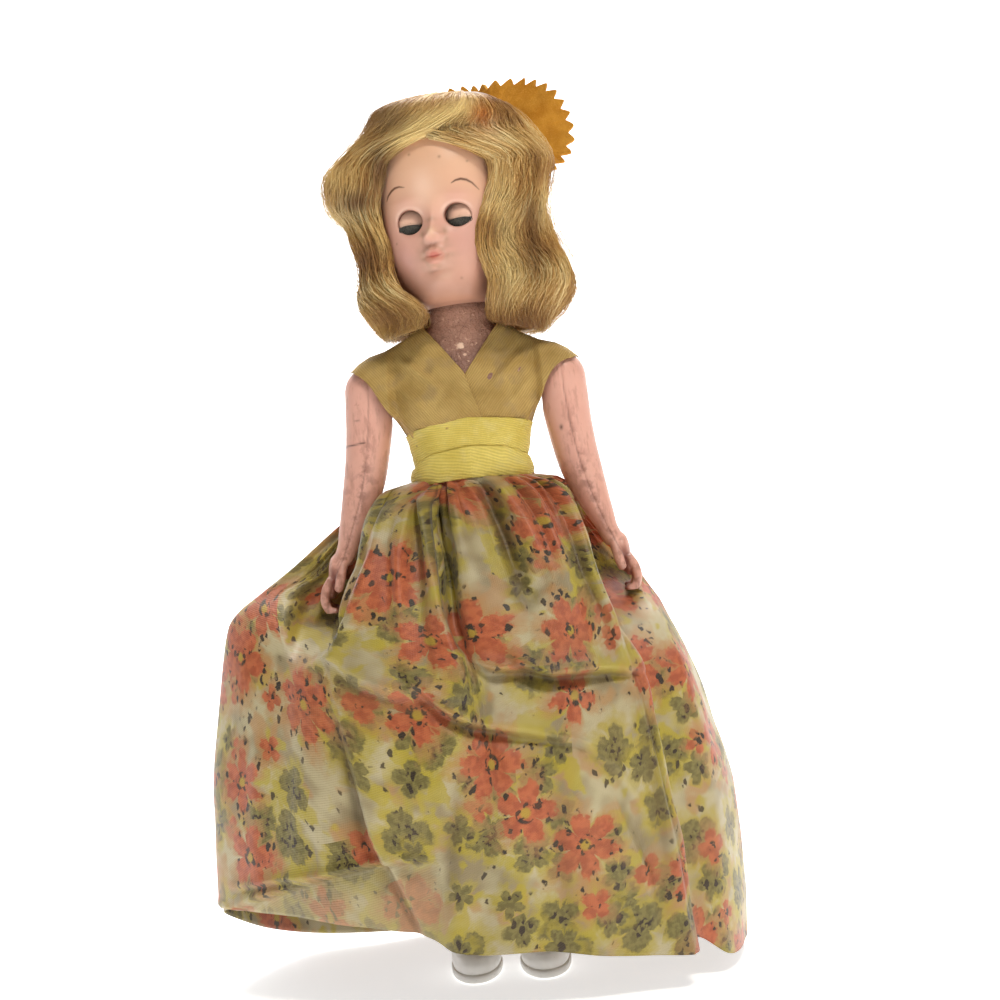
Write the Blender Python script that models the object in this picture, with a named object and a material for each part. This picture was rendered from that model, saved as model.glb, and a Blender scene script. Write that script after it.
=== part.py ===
"""Small strung doll of hard plastic, in a long gown, standing on its shoes.

Frame: metres, +Z up, the doll faces -Y, its own left side is at +X.
The origin is on the floor, at the middle of the doll's whole outline.
All dimensions below are millimetres from the body's own axis (the neck's
centre line); BODY_X moves that axis so that the outline is centred.

Bodies: the torso with legs and clothes stands still; the head turns on the
neck; the eyes rock in the head on one crossbar; each arm turns at its
shoulder on a hook pulled by an elastic.
"""

import math

import bmesh
import bpy
from mathutils import Matrix, Vector

MM = 0.001
BODY_X = 5.35  # body axis, right of the outline's middle
GAP = 0.3  # between neighbouring pieces

# ---- driving dimensions -------------------------------------------------
SHOULDER_Z = 131.0
SHOULDER_X = 21.6  # middle of the arm's round top
ARM_REACH = 50.4  # the hand's sweep about the shoulder, with clearance
NECK_R = 6.8
NECK_RIM_Z = 148.4  # underside of the head
HEAD_YAW = math.radians(-11.5)  # rest pose: turned to the doll's right
HEAD_ROLL = math.radians(3.0)
WALL = 1.5  # moulded plastic
EYE_X, EYE_Y, EYE_Z = 5.5, -8.9, 166.9
EYE_R = 4.0
EYE_HOLE_R = 2.75
WAIST_Z = 112.4
SASH_LOW, SASH_HIGH = 110.2, 123.4
ORNAMENT_R = 21.4
ORNAMENT_HIGH = 14.0
ORNAMENT_TEETH = 40

# rows: z, half width, front, back
HEAD_ROWS = [
    (148.4, 7.9, 7.9, 7.9),
    (148.8, 9.4, 11.6, 8.9),
    (149.8, 10.1, 13.6, 9.6),
    (151.6, 11.0, 14.7, 10.4),
    (154.0, 12.1, 15.0, 11.4),
    (158.0, 13.6, 15.2, 13.2),
    (163.0, 14.9, 15.4, 15.6),
    (168.0, 15.4, 15.5, 17.0),
    (173.0, 15.5, 15.7, 17.5),
    (178.0, 15.3, 15.6, 17.2),
    (183.0, 14.2, 14.4, 15.8),
    (187.5, 11.9, 12.0, 13.0),
    (191.0, 8.4, 8.4, 9.2),
    (193.0, 4.2, 4.2, 4.6),
    (193.5, 0.6, 0.6, 0.6),
]
TORSO_ROWS = [
    (80.0, 9.0, 6.0, 6.5),
    (82.0, 12.5, 8.0, 8.8),
    (86.0, 14.6, 9.4, 10.6),
    (92.0, 15.2, 9.8, 11.0),
    (99.0, 14.2, 9.2, 9.8),
    (106.0, 12.0, 8.2, 8.0),
    (113.0, 11.4, 8.1, 7.6),
    (118.0, 12.4, 9.0, 8.0),
    (123.0, 14.2, 10.2, 8.4),
    (127.0, 15.6, 10.8, 8.7),
    (131.0, 16.2, 10.2, 8.7),
    (135.0, 16.2, 8.8, 8.2),
    (138.0, 15.5, 7.8, 7.7),
    (140.0, 13.9, 7.3, 7.2),
    (141.6, 11.4, 7.0, 6.9),
    (143.0, 9.0, 6.9, 6.8),
    (144.2, 7.4, 6.8, 6.8),
    (145.2, 6.8, 6.8, 6.8),
    (147.2, 6.75, 6.75, 6.75),
    (149.2, 6.3, 6.3, 6.3),
    (151.0, 5.1, 5.1, 5.1),
    (152.3, 3.4, 3.4, 3.4),
    (152.8, 2.7, 2.7, 2.7),
]
# z, middle x, half width, front, back
LEG_ROWS = [
    (2.9, 7.8, 4.1, 13.9, 4.6),
    (4.6, 7.8, 4.2, 13.5, 4.7),
    (6.8, 7.6, 3.9, 10.0, 4.6),
    (9.5, 7.4, 3.4, 5.0, 4.2),
    (14.0, 7.2, 3.2, 3.3, 3.6),
    (24.0, 7.0, 4.1, 4.0, 4.6),
    (34.0, 6.9, 4.9, 4.6, 5.6),
    (46.0, 6.8, 4.8, 5.3, 4.9),
    (62.0, 6.9, 5.9, 6.2, 6.2),
    (76.0, 7.0, 6.5, 6.9, 7.0),
    (90.0, 7.0, 6.6, 7.5, 8.0),
]
# z, middle x, half width, middle y, half depth
ARM_ROWS = [
    (136.5, 21.6, 1.6, 0.0, 1.6),
    (135.4, 21.6, 3.5, 0.0, 3.6),
    (133.4, 21.6, 5.0, 0.0, 5.1),
    (131.0, 21.6, 5.6, 0.0, 5.6),
    (127.0, 21.9, 5.5, 0.0, 5.5),
    (122.0, 22.4, 5.25, 0.0, 5.3),
    (116.0, 23.3, 5.0, 0.0, 5.1),
    (111.0, 24.3, 4.8, 0.0, 4.9),
    (105.0, 26.0, 4.1, -0.3, 4.3),
    (100.0, 27.8, 3.2, -0.6, 3.5),
    (96.5, 29.2, 2.5, -0.9, 2.9),
    (94.0, 30.3, 2.6, -1.1, 3.2),
    (90.5, 32.0, 3.0, -1.4, 3.9),
    (87.0, 33.4, 3.1, -1.6, 3.9),
    (84.0, 34.2, 2.6, -1.8, 3.3),
    (82.4, 34.4, 1.3, -1.9, 2.0),
]
# hair: z, doll's right (-X), doll's left (+X), front, back
HAIR_ROWS = [
    (138.0, 19.0, 19.0, 9.0, 14.0),
    (142.0, 21.5, 22.0, 11.5, 17.5),
    (148.0, 23.5, 25.0, 13.5, 21.0),
    (155.0, 23.6, 26.0, 14.0, 23.0),
    (162.0, 23.0, 24.0, 14.5, 23.5),
    (170.0, 24.5, 22.5, 15.0, 23.5),
    (177.0, 26.5, 22.5, 16.0, 23.2),
    (183.0, 24.5, 21.5, 17.6, 21.6),
    (188.0, 20.0, 18.5, 17.2, 18.8),
    (192.5, 14.5, 14.0, 13.6, 14.4),
    (195.6, 8.8, 8.8, 8.6, 8.8),
    (197.0, 3.4, 3.4, 3.4, 3.4),
]
# gown: z, -X side, +X side, front, back
SKIRT_ROWS = [
    (112.3, 12.5, 12.5, 9.1, 8.6),
    (109.8, 12.6, 12.6, 9.2, 8.8),
    (108.4, 14.4, 14.4, 10.9, 10.4),
    (106.0, 16.8, 16.8, 13.2, 12.6),
    (101.0, 21.5, 21.0, 17.8, 17.0),
    (95.0, 27.5, 27.0, 22.6, 21.8),
    (88.0, 35.0, 33.0, 27.2, 26.6),
    (81.6, 44.0, 38.0, 30.6, 30.4),
    (78.6, 49.0, 40.0, 32.0, 32.0),
    (73.0, 55.0, 43.0, 34.0, 34.4),
    (62.0, 60.5, 46.8, 36.8, 38.0),
    (46.0, 63.0, 51.5, 39.4, 41.2),
    (28.0, 64.2, 53.6, 41.8, 43.2),
    (0.0, 65.0, 54.6, 44.0, 44.35),
]


for o in list(bpy.data.objects):
    bpy.data.objects.remove(o, do_unlink=True)


# ---- mesh helpers, all in millimetres -----------------------------------
def spline_rows(rows, steps):
    """Rows between the given ones, on a Catmull-Rom curve. steps per span."""
    out = []
    n = len(rows)
    for i in range(n - 1):
        p0, p1 = rows[max(i - 1, 0)], rows[i]
        p2, p3 = rows[i + 1], rows[min(i + 2, n - 1)]
        for k in range(steps):
            t = k / steps
            out.append(
                tuple(
                    0.5
                    * (
                        2 * b
                        + (c - a) * t
                        + (2 * a - 5 * b + 4 * c - d) * t * t
                        + (3 * b - a - 3 * c + d) * t**3
                    )
                    for a, b, c, d in zip(p0, p1, p2, p3)
                )
            )
    out.append(rows[-1])
    return out


def row_at(rows, z):
    """A row's other numbers at height z, for rows ordered either way."""
    rows = sorted(rows)
    z = min(max(z, rows[0][0]), rows[-1][0])
    for a, b in zip(rows, rows[1:]):
        if z <= b[0]:
            t = (z - a[0]) / (b[0] - a[0])
            return [p + (q - p) * t for p, q in zip(a[1:], b[1:])]
    return list(rows[-1][1:])


def signed_power(v, p):
    return math.copysign(abs(v) ** p, v)


def oval(n, z, right, left, front, back, cx=0.0, cy=0.0, power=2.0):
    """A closed ring: right is the -X half width, left the +X one."""
    pts = []
    for i in range(n):
        t = 2 * math.pi * i / n
        s, c = signed_power(math.sin(t), 2 / power), signed_power(math.cos(t), 2 / power)
        x = s * (left if s > 0 else right)
        y = -c * (front if c > 0 else back)
        pts.append((cx + x, cy + y, z))
    return pts


def mesh_of(verts, faces):
    me = bpy.data.meshes.new("work")
    me.from_pydata([tuple(v) for v in verts], [], faces)
    bm = bmesh.new()
    bm.from_mesh(me)
    bmesh.ops.recalc_face_normals(bm, faces=bm.faces)
    bm.to_mesh(me)
    bm.free()
    return me


def loft(rings):
    """A closed solid through rings of equal length, its ends capped."""
    n = len(rings[0])
    verts = [p for r in rings for p in r]
    faces = []
    for i in range(len(rings) - 1):
        for j in range(n):
            k = (j + 1) % n
            faces.append((i * n + j, i * n + k, (i + 1) * n + k, (i + 1) * n + j))
    faces.append(tuple(range(n)))
    last = (len(rings) - 1) * n
    faces.append(tuple(last + j for j in range(n)))
    return mesh_of(verts, faces)


def sheet_solid(outer, inner, around):
    """A closed solid between two grids. around: the rows close on themselves."""
    rows, cols = len(outer), len(outer[0])
    verts = [p for r in outer for p in r] + [p for r in inner for p in r]
    base = rows * cols
    faces = []
    span = cols if around else cols - 1
    for i in range(rows - 1):
        for j in range(span):
            k = (j + 1) % cols
            a, b, c, d = i * cols + j, i * cols + k, (i + 1) * cols + k, (i + 1) * cols + j
            faces.append((a, b, c, d))
            faces.append((base + d, base + c, base + b, base + a))
    for j in range(span):
        k = (j + 1) % cols
        faces.append((j, base + j, base + k, k))
        e = (rows - 1) * cols
        faces.append((e + j, e + k, base + e + k, base + e + j))
    if not around:
        for i in range(rows - 1):
            a, d = i * cols, (i + 1) * cols
            faces.append((a, d, base + d, base + a))
            a, d = i * cols + cols - 1, (i + 1) * cols + cols - 1
            faces.append((a, base + a, base + d, d))
    return mesh_of(verts, faces)


def turned(profile, n=16, axis="Z", at=(0, 0, 0)):
    """A solid of revolution from (radius, along) points, ends on the axis or capped."""
    rings = []
    for r, h in profile:
        ring = []
        for i in range(n):
            t = 2 * math.pi * i / n
            a, b = r * math.cos(t), r * math.sin(t)
            p = {"Z": (a, b, h), "X": (h, a, b), "Y": (a, h, b)}[axis]
            ring.append(tuple(q + s for q, s in zip(p, at)))
        rings.append(ring)
    return loft(rings)


def doughnut(major, minor, n, m, axis, at):
    """A closed ring of round section about an axis through at."""
    verts, faces = [], []
    for i in range(n):
        t = 2 * math.pi * i / n
        for j in range(m):
            s = 2 * math.pi * (j + 0.5) / m
            r, h = major + minor * math.cos(s), minor * math.sin(s)
            a, b = r * math.cos(t), r * math.sin(t)
            p = {"Z": (a, b, h), "X": (h, a, b), "Y": (a, h, b)}[axis]
            verts.append(tuple(q + w for q, w in zip(p, at)))
    for i in range(n):
        for j in range(m):
            k, l = (i + 1) % n, (j + 1) % m
            faces.append((i * m + j, k * m + j, k * m + l, i * m + l))
    return mesh_of(verts, faces)


def rod(points, radius, n=8):
    """A round rod or cord through points."""
    pts = [Vector(p) for p in points]
    rings = []
    side = None
    for i, p in enumerate(pts):
        a, b = pts[max(i - 1, 0)], pts[min(i + 1, len(pts) - 1)]
        d = (b - a).normalized()
        if side is None:
            side = d.orthogonal().normalized()
        side = (side - d * side.dot(d)).normalized()
        up = d.cross(side)
        rings.append(
            [
                tuple(p + radius * (math.cos(t) * side + math.sin(t) * up))
                for t in (2 * math.pi * (k + 0.5) / n for k in range(n))
            ]
        )
    return loft(rings)


def block(lo, hi):
    (x0, y0, z0), (x1, y1, z1) = lo, hi
    return loft([[(x0, y0, z), (x1, y0, z), (x1, y1, z), (x0, y1, z)] for z in (z0, z1)])


def prism(outline, y0, y1):
    """An outline of (x, z) points carried from y0 to y1."""
    return loft([[(x, y, z) for x, z in outline] for y in (y0, y1)])


def moved(me, matrix):
    me = me.copy()
    me.transform(matrix)
    if matrix.determinant() < 0:
        me.flip_normals()
    return me


def combined(a, b, how):
    """Boolean of two closed meshes: DIFFERENCE, UNION or INTERSECT."""
    oa, ob = bpy.data.objects.new("a", a), bpy.data.objects.new("b", b)
    for o in (oa, ob):
        bpy.context.scene.collection.objects.link(o)
    mod = oa.modifiers.new("cut", "BOOLEAN")
    mod.operation, mod.object, mod.solver = how, ob, "EXACT"
    bpy.context.view_layer.update()
    dg = bpy.context.evaluated_depsgraph_get()
    out = bpy.data.meshes.new_from_object(oa.evaluated_get(dg))
    for o in (oa, ob):
        bpy.data.objects.remove(o, do_unlink=True)
    bm = bmesh.new()
    bm.from_mesh(out)
    bmesh.ops.remove_doubles(bm, verts=bm.verts, dist=0.004)
    bmesh.ops.dissolve_degenerate(bm, edges=bm.edges, dist=0.002)
    bm.to_mesh(out)
    bm.free()
    return out


def less(a, *cutters):
    for c in cutters:
        a = combined(a, c, "DIFFERENCE")
    return a


def with_added(a, *more):
    for c in more:
        a = combined(a, c, "UNION")
    return a


def within(a, b):
    return combined(a, b, "INTERSECT")


# ---- bodies and finished pieces -----------------------------------------
def pivot(name, at, parent=None, turn=None):
    e = bpy.data.objects.new(name, None)
    e.empty_display_size = 0.01
    bpy.context.scene.collection.objects.link(e)
    if parent:
        e.parent = parent
        bpy.context.view_layer.update()
        e.matrix_parent_inverse = parent.matrix_world.inverted()
    e.location = ((at[0] + BODY_X) * MM, at[1] * MM, at[2] * MM)
    bpy.context.view_layer.update()
    return e


materials = {}


def finish_of(name, colour, rough, metal=0.0):
    if name not in materials:
        m = bpy.data.materials.new(name)
        m.use_nodes = True
        b = m.node_tree.nodes["Principled BSDF"]
        b.inputs["Base Color"].default_value = (*colour, 1.0)
        b.inputs["Roughness"].default_value = rough
        b.inputs["Metallic"].default_value = metal
        materials[name] = m
    return materials[name]


def piece(name, me, body, finish, smooth=True):
    """Makes the named piece from a mesh in millimetres about the body's axis."""
    me = me.copy()
    me.name = name
    me.transform(Matrix.Translation((BODY_X, 0, 0)))
    me.transform(Matrix.Scale(MM, 4))
    at = body.matrix_world.translation.copy()
    me.transform(Matrix.Translation(-at))
    bm = bmesh.new()
    bm.from_mesh(me)
    bmesh.ops.recalc_face_normals(bm, faces=bm.faces)
    if bm.calc_volume(signed=True) < 0:
        bmesh.ops.reverse_faces(bm, faces=bm.faces)
    bm.to_mesh(me)
    bm.free()
    if smooth:
        me.shade_smooth()
        me.set_sharp_from_angle(angle=math.radians(38))
    me.materials.clear()
    me.materials.append(finish)
    o = bpy.data.objects.new(name, me)
    bpy.context.scene.collection.objects.link(o)
    o.parent = body
    return o


root = pivot("body", (0, 0, 0))
head = pivot("head_pivot", (0, 0, NECK_RIM_Z), root)
arm_right = pivot("arm_right_pivot", (-SHOULDER_X, 0, SHOULDER_Z), root)
arm_left = pivot("arm_left_pivot", (SHOULDER_X, 0, SHOULDER_Z), root)

HEAD_PLACE = (
    Matrix.Translation((0, 0, NECK_RIM_Z))
    @ Matrix.Rotation(HEAD_YAW, 4, "Z")
    @ Matrix.Rotation(-HEAD_ROLL, 4, "Y")
    @ Matrix.Translation((0, 0, -NECK_RIM_Z))
)
EYE_AT = HEAD_PLACE @ Vector((0, EYE_Y, EYE_Z))
eyes = pivot("eyes_pivot", EYE_AT, head)

skin = finish_of("peach_hard_plastic", (0.78, 0.55, 0.46), 0.32)
body_skin = finish_of("brown_body_plastic", (0.42, 0.27, 0.2), 0.55)
arm_skin = finish_of("pink_arm_plastic", (0.76, 0.45, 0.38), 0.42)
hair_fibre = finish_of("straw_blond_fibre", (0.72, 0.52, 0.22), 0.4)
net = finish_of("wig_net", (0.6, 0.47, 0.28), 0.8)
felt = finish_of("mustard_felt", (0.62, 0.36, 0.09), 0.9)
olive = finish_of("golden_olive_cloth", (0.42, 0.31, 0.1), 0.75)
yellow = finish_of("yellow_ribbon_cloth", (0.6, 0.5, 0.14), 0.6)
print_cloth = finish_of("flowered_satin", (0.75, 0.68, 0.5), 0.45)
shoe_plastic = finish_of("white_shoe_plastic", (0.85, 0.84, 0.8), 0.35)
steel = finish_of("plated_wire", (0.6, 0.6, 0.6), 0.3, 1.0)
rubber = finish_of("elastic_cord", (0.5, 0.42, 0.32), 0.8)
eye_white = finish_of("eye_plastic", (0.85, 0.85, 0.82), 0.15)
lash_dark = finish_of("lash_bristle", (0.05, 0.045, 0.03), 0.7)
lead = finish_of("weight_lead", (0.3, 0.3, 0.32), 0.6, 0.8)
pearl = finish_of("snap_metal", (0.65, 0.65, 0.62), 0.3, 1.0)


# ---- torso and legs in one, moulded as a front and a back half ----------
def torso_solid(grow, n=20, low=0.0, high=200.0, rows=None):
    rings = []
    for z, a, f, b in rows or TORSO_ROWS:
        if low <= z <= high:
            rings.append(oval(n, z, a + grow, a + grow, f + grow, b + grow, power=2.2))
    return loft(rings)


def leg_solid(side, grow, n=10, low=0.0, top=None):
    rings = []
    for z, cx, a, f, b in LEG_ROWS:
        if z >= low:
            rings.append(oval(n, z, a + grow, a + grow, f + grow, b + grow, cx=side * cx))
    return loft(rings)


torso = torso_solid(0.0)
legs = [leg_solid(s, 0.0) for s in (-1, 1)]
whole = with_added(torso, *legs)
inside_rows = [
    (84.5, 11.0, 6.8, 7.8),
    (92.0, 13.7, 8.3, 9.5),
    (99.0, 12.7, 7.7, 8.3),
    (106.0, 10.5, 6.7, 6.5),
    (113.0, 9.9, 6.6, 6.1),
    (123.0, 12.7, 8.7, 6.9),
    (131.0, 14.7, 8.7, 7.2),
    (136.0, 14.5, 7.0, 6.5),
    (138.4, 12.6, 6.0, 5.9),
    (140.6, 9.0, 5.4, 5.3),
    (143.0, 5.3, 5.3, 5.3),
    (147.5, 5.2, 5.2, 5.2),
    (149.6, 4.2, 4.2, 4.2),
    (150.8, 2.1, 2.1, 2.1),
    (154.0, 2.1, 2.1, 2.1),
]
hollow = torso_solid(0.0, n=14, rows=inside_rows)
hollow_legs = []
for s in (-1, 1):
    rings = [
        oval(8, z, a - 1.5, a - 1.5, f - 1.5, b - 1.5, cx=s * cx)
        for z, cx, a, f, b in LEG_ROWS
        if 14.0 <= z <= 90.0
    ]
    hollow_legs.append(loft(rings))
hollow = with_added(hollow, *hollow_legs)
shoulder_bore = turned([(2.7, -20), (2.7, 20)], 14, "X", (0, 0, SHOULDER_Z))
shell = less(whole, hollow, shoulder_bore)
half = block((-40, -0.15, -5), (40, 60, 200))
piece("torso_front_half", less(shell, half), root, body_skin)
half = block((-40, -60, -5), (40, 0.15, 200))
piece("torso_back_half", less(shell, half), root, body_skin)

# ---- shoes --------------------------------------------------------------
SHOE_OUT = [
    (0.0, 5.5, 15.9, 6.7),
    (0.4, 5.8, 16.3, 7.0),
    (1.7, 5.8, 16.3, 7.0),
    (2.0, 5.5, 15.9, 6.6),
    (4.6, 5.6, 15.7, 6.5),
    (6.8, 5.3, 13.4, 6.3),
    (8.6, 5.0, 9.6, 6.0),
    (10.2, 4.7, 6.4, 5.7),
]
SHOE_IN = [
    (2.4, 4.55, 14.4, 5.1),
    (5.0, 4.65, 14.0, 5.15),
    (7.2, 4.35, 11.0, 5.05),
    (9.6, 3.85, 5.9, 4.75),
    (11.5, 3.85, 5.0, 4.75),
]
for s, side in ((-1, "right"), (1, "left")):
    outer = loft([oval(16, z, a, a, f, b, cx=s * 7.7) for z, a, f, b in SHOE_OUT])
    inner = loft([oval(12, z, a, a, f, b, cx=s * 7.7) for z, a, f, b in SHOE_IN])
    piece(f"shoe_{side}", less(outer, inner), root, shoe_plastic)

# ---- bodice: two crossed front panels and two back panels ----------------
BODICE_IN, BODICE_OUT = 0.35, 0.85


def bodice_rows(grow):
    rows = []
    for z, a, f, b in TORSO_ROWS:
        if 113.0 <= z <= 145.0:
            rows.append((z, a + grow, f + grow, b + grow))
    # the ring above sinks with the slope, so that the shell keeps its thickness
    return rows


outer = loft(
    [oval(24, z + (0.5 if z > 137 else 0), a, a, f, b, power=2.2) for z, a, f, b in bodice_rows(BODICE_OUT)]
)
inner = loft(
    [oval(24, z, a, a, f, b, power=2.2) for z, a, f, b in
     [(111.0, 11.4 + BODICE_IN, 8.1 + BODICE_IN, 7.6 + BODICE_IN)] + bodice_rows(BODICE_IN)
     + [(147.5, 7.3, 7.3, 7.3)]]
)
cloth = less(outer, inner)
# V neck at the front, a shallow scoop behind, and the two armholes
neck_front = prism([(0, 133.3), (9.4, 146.5), (9.4, 150), (-9.4, 150), (-9.4, 146.5)], -30, 0)
neck_back = prism([(-9.4, 150), (-8.6, 143.2), (-4, 140.6), (4, 140.6), (8.6, 143.2), (9.4, 150)], 0, 30)
armholes = [
    turned([(7.0, s * 13.6), (7.0, s * 20)], 16, "X", (0, 0, SHOULDER_Z)) for s in (-1, 1)
]
cloth = less(cloth, neck_front, neck_back, *armholes)
# the crossing line runs from the V's tip down to the doll's left at the sash
cross_right = prism(
    [(0.15, 150), (0.15, 133.3), (6.15, 113.0), (6.15, 100), (-40, 100), (-40, 150)], -30, -0.15
)
cross_left = prism(
    [(0.45, 150), (0.45, 133.5), (6.45, 113.0), (6.45, 100), (40, 100), (40, 150)], -30, -0.15
)
back_right = block((-40, 0.15, 100), (-0.15, 30, 150))
back_left = block((0.15, 0.15, 100), (40, 30, 150))
piece("bodice_front_right", within(cloth, cross_right), root, olive)
piece("bodice_front_left", within(cloth, cross_left), root, olive)
piece("bodice_back_right", within(cloth, back_right), root, olive)
piece("bodice_back_left", within(cloth, back_left), root, olive)
for z, name in ((136.0, "snap_upper"), (128.0, "snap_lower")):
    a, f, b = row_at(TORSO_ROWS, z)
    y = b + BODICE_OUT + 0.35
    piece(name, turned([(1.2, y), (1.6, y + 0.15), (1.6, y + 0.45), (1.0, y + 0.8)], 14, "Y", (1.9, 0, z)), root, pearl)

# ---- sash ----------------------------------------------------------------
SASH_IN, SASH_OUT = 1.2, 2.0
sash_rows = [SASH_LOW, 112.0, 113.0, 118.0, 121.0, SASH_HIGH]


def sash_ring(z, grow):
    a, f, b = row_at(TORSO_ROWS, z)
    fold = 0.35 * math.sin((z - SASH_LOW) / (SASH_HIGH - SASH_LOW) * math.pi * 2)
    return oval(28, z, a + grow, a + grow, f + grow + (fold if grow == SASH_OUT else 0), b + grow, power=2.15)


piece(
    "sash",
    sheet_solid(
        [sash_ring(z, SASH_OUT) for z in sash_rows],
        [sash_ring(z, SASH_IN) for z in sash_rows],
        True,
    ),
    root,
    yellow,
)


# ---- skirt: gathered under the sash, open below --------------------------
def arm_inner_edge(reach):
    """How far from the middle an arm's inner side is, at this reach from the shoulder."""
    rows = sorted((SHOULDER_Z - z, cx - a) for z, cx, a, _, _ in ARM_ROWS)
    reach = min(max(reach, rows[0][0]), rows[-1][0])
    for p, q in zip(rows, rows[1:]):
        if reach <= q[0]:
            return p[1] + (q[1] - p[1]) * (reach - p[0]) / (q[0] - p[0])
    return rows[-1][1]


def clear_of_arms(x, y, z, room=0.9):
    reach = math.hypot(y, SHOULDER_Z - z)
    return reach > ARM_REACH + 0.6 or abs(x) < arm_inner_edge(reach) - room


def hem_height(t):
    """The hem's height round the doll: high at its right, on the floor at its left."""
    deg = math.degrees(t) % 360
    marks = [(0, 9.5), (35, 5.5), (65, 1.2), (110, 0.8), (180, 1.2), (240, 6.0), (270, 16.5), (300, 15.0), (330, 11.5), (360, 9.5)]
    for (a, p), (b, q) in zip(marks, marks[1:]):
        if deg <= b:
            w = (deg - a) / (b - a)
            w = w * w * (3 - 2 * w)
            return p + (q - p) * w
    return marks[-1][1]


def skirt_point(t, z, inset):
    right, left, front, back = row_at(SKIRT_ROWS, z)
    power = 2.0 + 0.18 * min(1.0, max(0.0, (z - 100.0) / 8.0))
    s, c = signed_power(math.sin(t), 2 / power), signed_power(math.cos(t), 2 / power)
    depth = min(1.0, max(0.0, (109.0 - z) / 40.0))
    folds = 1.0 + depth * (0.045 * math.cos(9 * t + 0.6) + 0.02 * math.cos(17 * t))
    hw = left if s > 0 else right
    fd = front if c > 0 else back
    x, y = s * hw, -c * fd
    flute = depth * (1.8 * math.cos(9 * t + 0.6))
    length = math.hypot(x, y)
    scale = (length + flute - 1.8 * depth) / length
    x, y = x * scale, y * scale
    if not clear_of_arms(x, y, z):
        lo, hi = 0.2, 1.0
        for _ in range(24):
            mid = (lo + hi) / 2
            if clear_of_arms(x * mid, y * mid, z):
                lo = mid
            else:
                hi = mid
        x, y = x * lo, y * lo
    length = math.hypot(x, y)
    return (x * (1 - inset / length), y * (1 - inset / length), z)


SKIRT_N = 45
skirt_levels = [112.3, 109.8, 108.4, 106.0, 101.0, 95.0, 88.0, 81.6, 78.0, 73.0, 62.0, 46.0, 28.0, 0.0]
outer, inner = [], []
for z in skirt_levels:
    ring_o, ring_i = [], []
    for i in range(SKIRT_N):
        t = 2 * math.pi * i / SKIRT_N
        zz = max(z, hem_height(t)) if z < 1 else max(z, hem_height(t) + 6 * (z / 28.0))
        thick = 0.5 if z > 109 else 0.9
        ring_o.append(skirt_point(t, zz, 0.0))
        ring_i.append(skirt_point(t, zz, thick))
    outer.append(ring_o)
    inner.append(ring_i)
piece("skirt", sheet_solid(outer, inner, True), root, print_cloth)


# ---- arms: an outer and an inner half each, a hook and a cap sleeve -------
def arm_solid(shrink, n, low=0.0):
    rings = []
    for z, cx, a, cy, d in ARM_ROWS:
        if z >= low:
            rings.append(oval(n, z - (shrink if z > 136 else 0), max(a - shrink, 0.3), max(a - shrink, 0.3),
                              max(d - shrink, 0.3), max(d - shrink, 0.3), cx=cx, cy=cy))
    return loft(rings)


arm = arm_solid(0.0, 16)
thumb = rod([(30.4, -2.6, 93.6), (30.8, -4.6, 91.4), (31.1, -5.6, 88.8), (31.2, -5.6, 87.2)], 1.15, 8)
thumb_tip = turned([(0.5, 86.6), (1.1, 87.1), (1.1, 88.0)], 8, "Z", (31.2, -5.6, 0))
arm = with_added(arm, thumb)
arm = less(arm, block((0, -20, 100), (16.95, 20, 150)))
arm_hollow = arm_solid(1.35, 12, 101.0)
arm_shell = less(arm, arm_hollow, turned([(1.35, 10), (1.35, 21.6)], 12, "X", (0, 0, SHOULDER_Z)))


def seam_side(outwards):
    """A solid on one side of the mould seam, which follows the arm's middle line."""
    line = [(21.6, 140.0)] + [(cx, z) for z, cx, a, cy, d in ARM_ROWS[3:]] + [(34.6, 78.0)]
    shift = 0.13 if outwards else -0.13
    edge = [(x + shift, z) for x, z in line]
    far = 60 if outwards else 0
    return prism(edge + [(far, 78.0), (far, 140.0)], -20, 20)


outer_half = within(arm_shell, seam_side(True))
inner_half = within(arm_shell, seam_side(False))
arm_hook = turned(
    [(2.1, 8.2), (2.1, 9.0), (0.9, 9.0), (0.9, 18.7), (2.6, 18.7), (2.6, 19.5)][::1],
    14, "X", (0, 0, SHOULDER_Z),
)


def sleeve_grid(grow):
    profile = [(17.6, 8.9), (19.4, 8.5), (21.4, 7.8), (23.2, 7.0), (24.6, 6.1), (25.6, 5.2)]
    reach = [104, 98, 88, 72, 52, 30]
    grid = []
    for (x, r), top in zip(profile, reach):
        row = []
        for k in range(9):
            a = math.radians(top * (k / 4 - 1))
            # cloth stands highest over the shoulder and lies close in front and behind
            rr = r + grow - (r - 6.75) * (1 - math.cos(a)) * 0.9 * (1 if r > 6.75 else 0)
            rr = max(rr, 6.1 + grow + 0.6) if x < 23.5 else rr
            row.append((x, -rr * math.sin(a), SHOULDER_Z + rr * math.cos(a)))
        grid.append(row)
    return grid


sleeve = sheet_solid(sleeve_grid(0.0), sleeve_grid(-0.55), False)
flip = Matrix.Scale(-1, 4, (1, 0, 0))
for s, side, body in ((-1, "right", arm_right), (1, "left", arm_left)):
    place = flip if s < 0 else Matrix.Identity(4)
    piece(f"arm_{side}_outer_half", moved(outer_half, place), body, arm_skin)
    piece(f"arm_{side}_inner_half", moved(inner_half, place), body, arm_skin)
    piece(f"arm_{side}_hook", moved(arm_hook, place), body, steel)
    piece(f"sleeve_{side}", moved(sleeve, place), body, olive)

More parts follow.
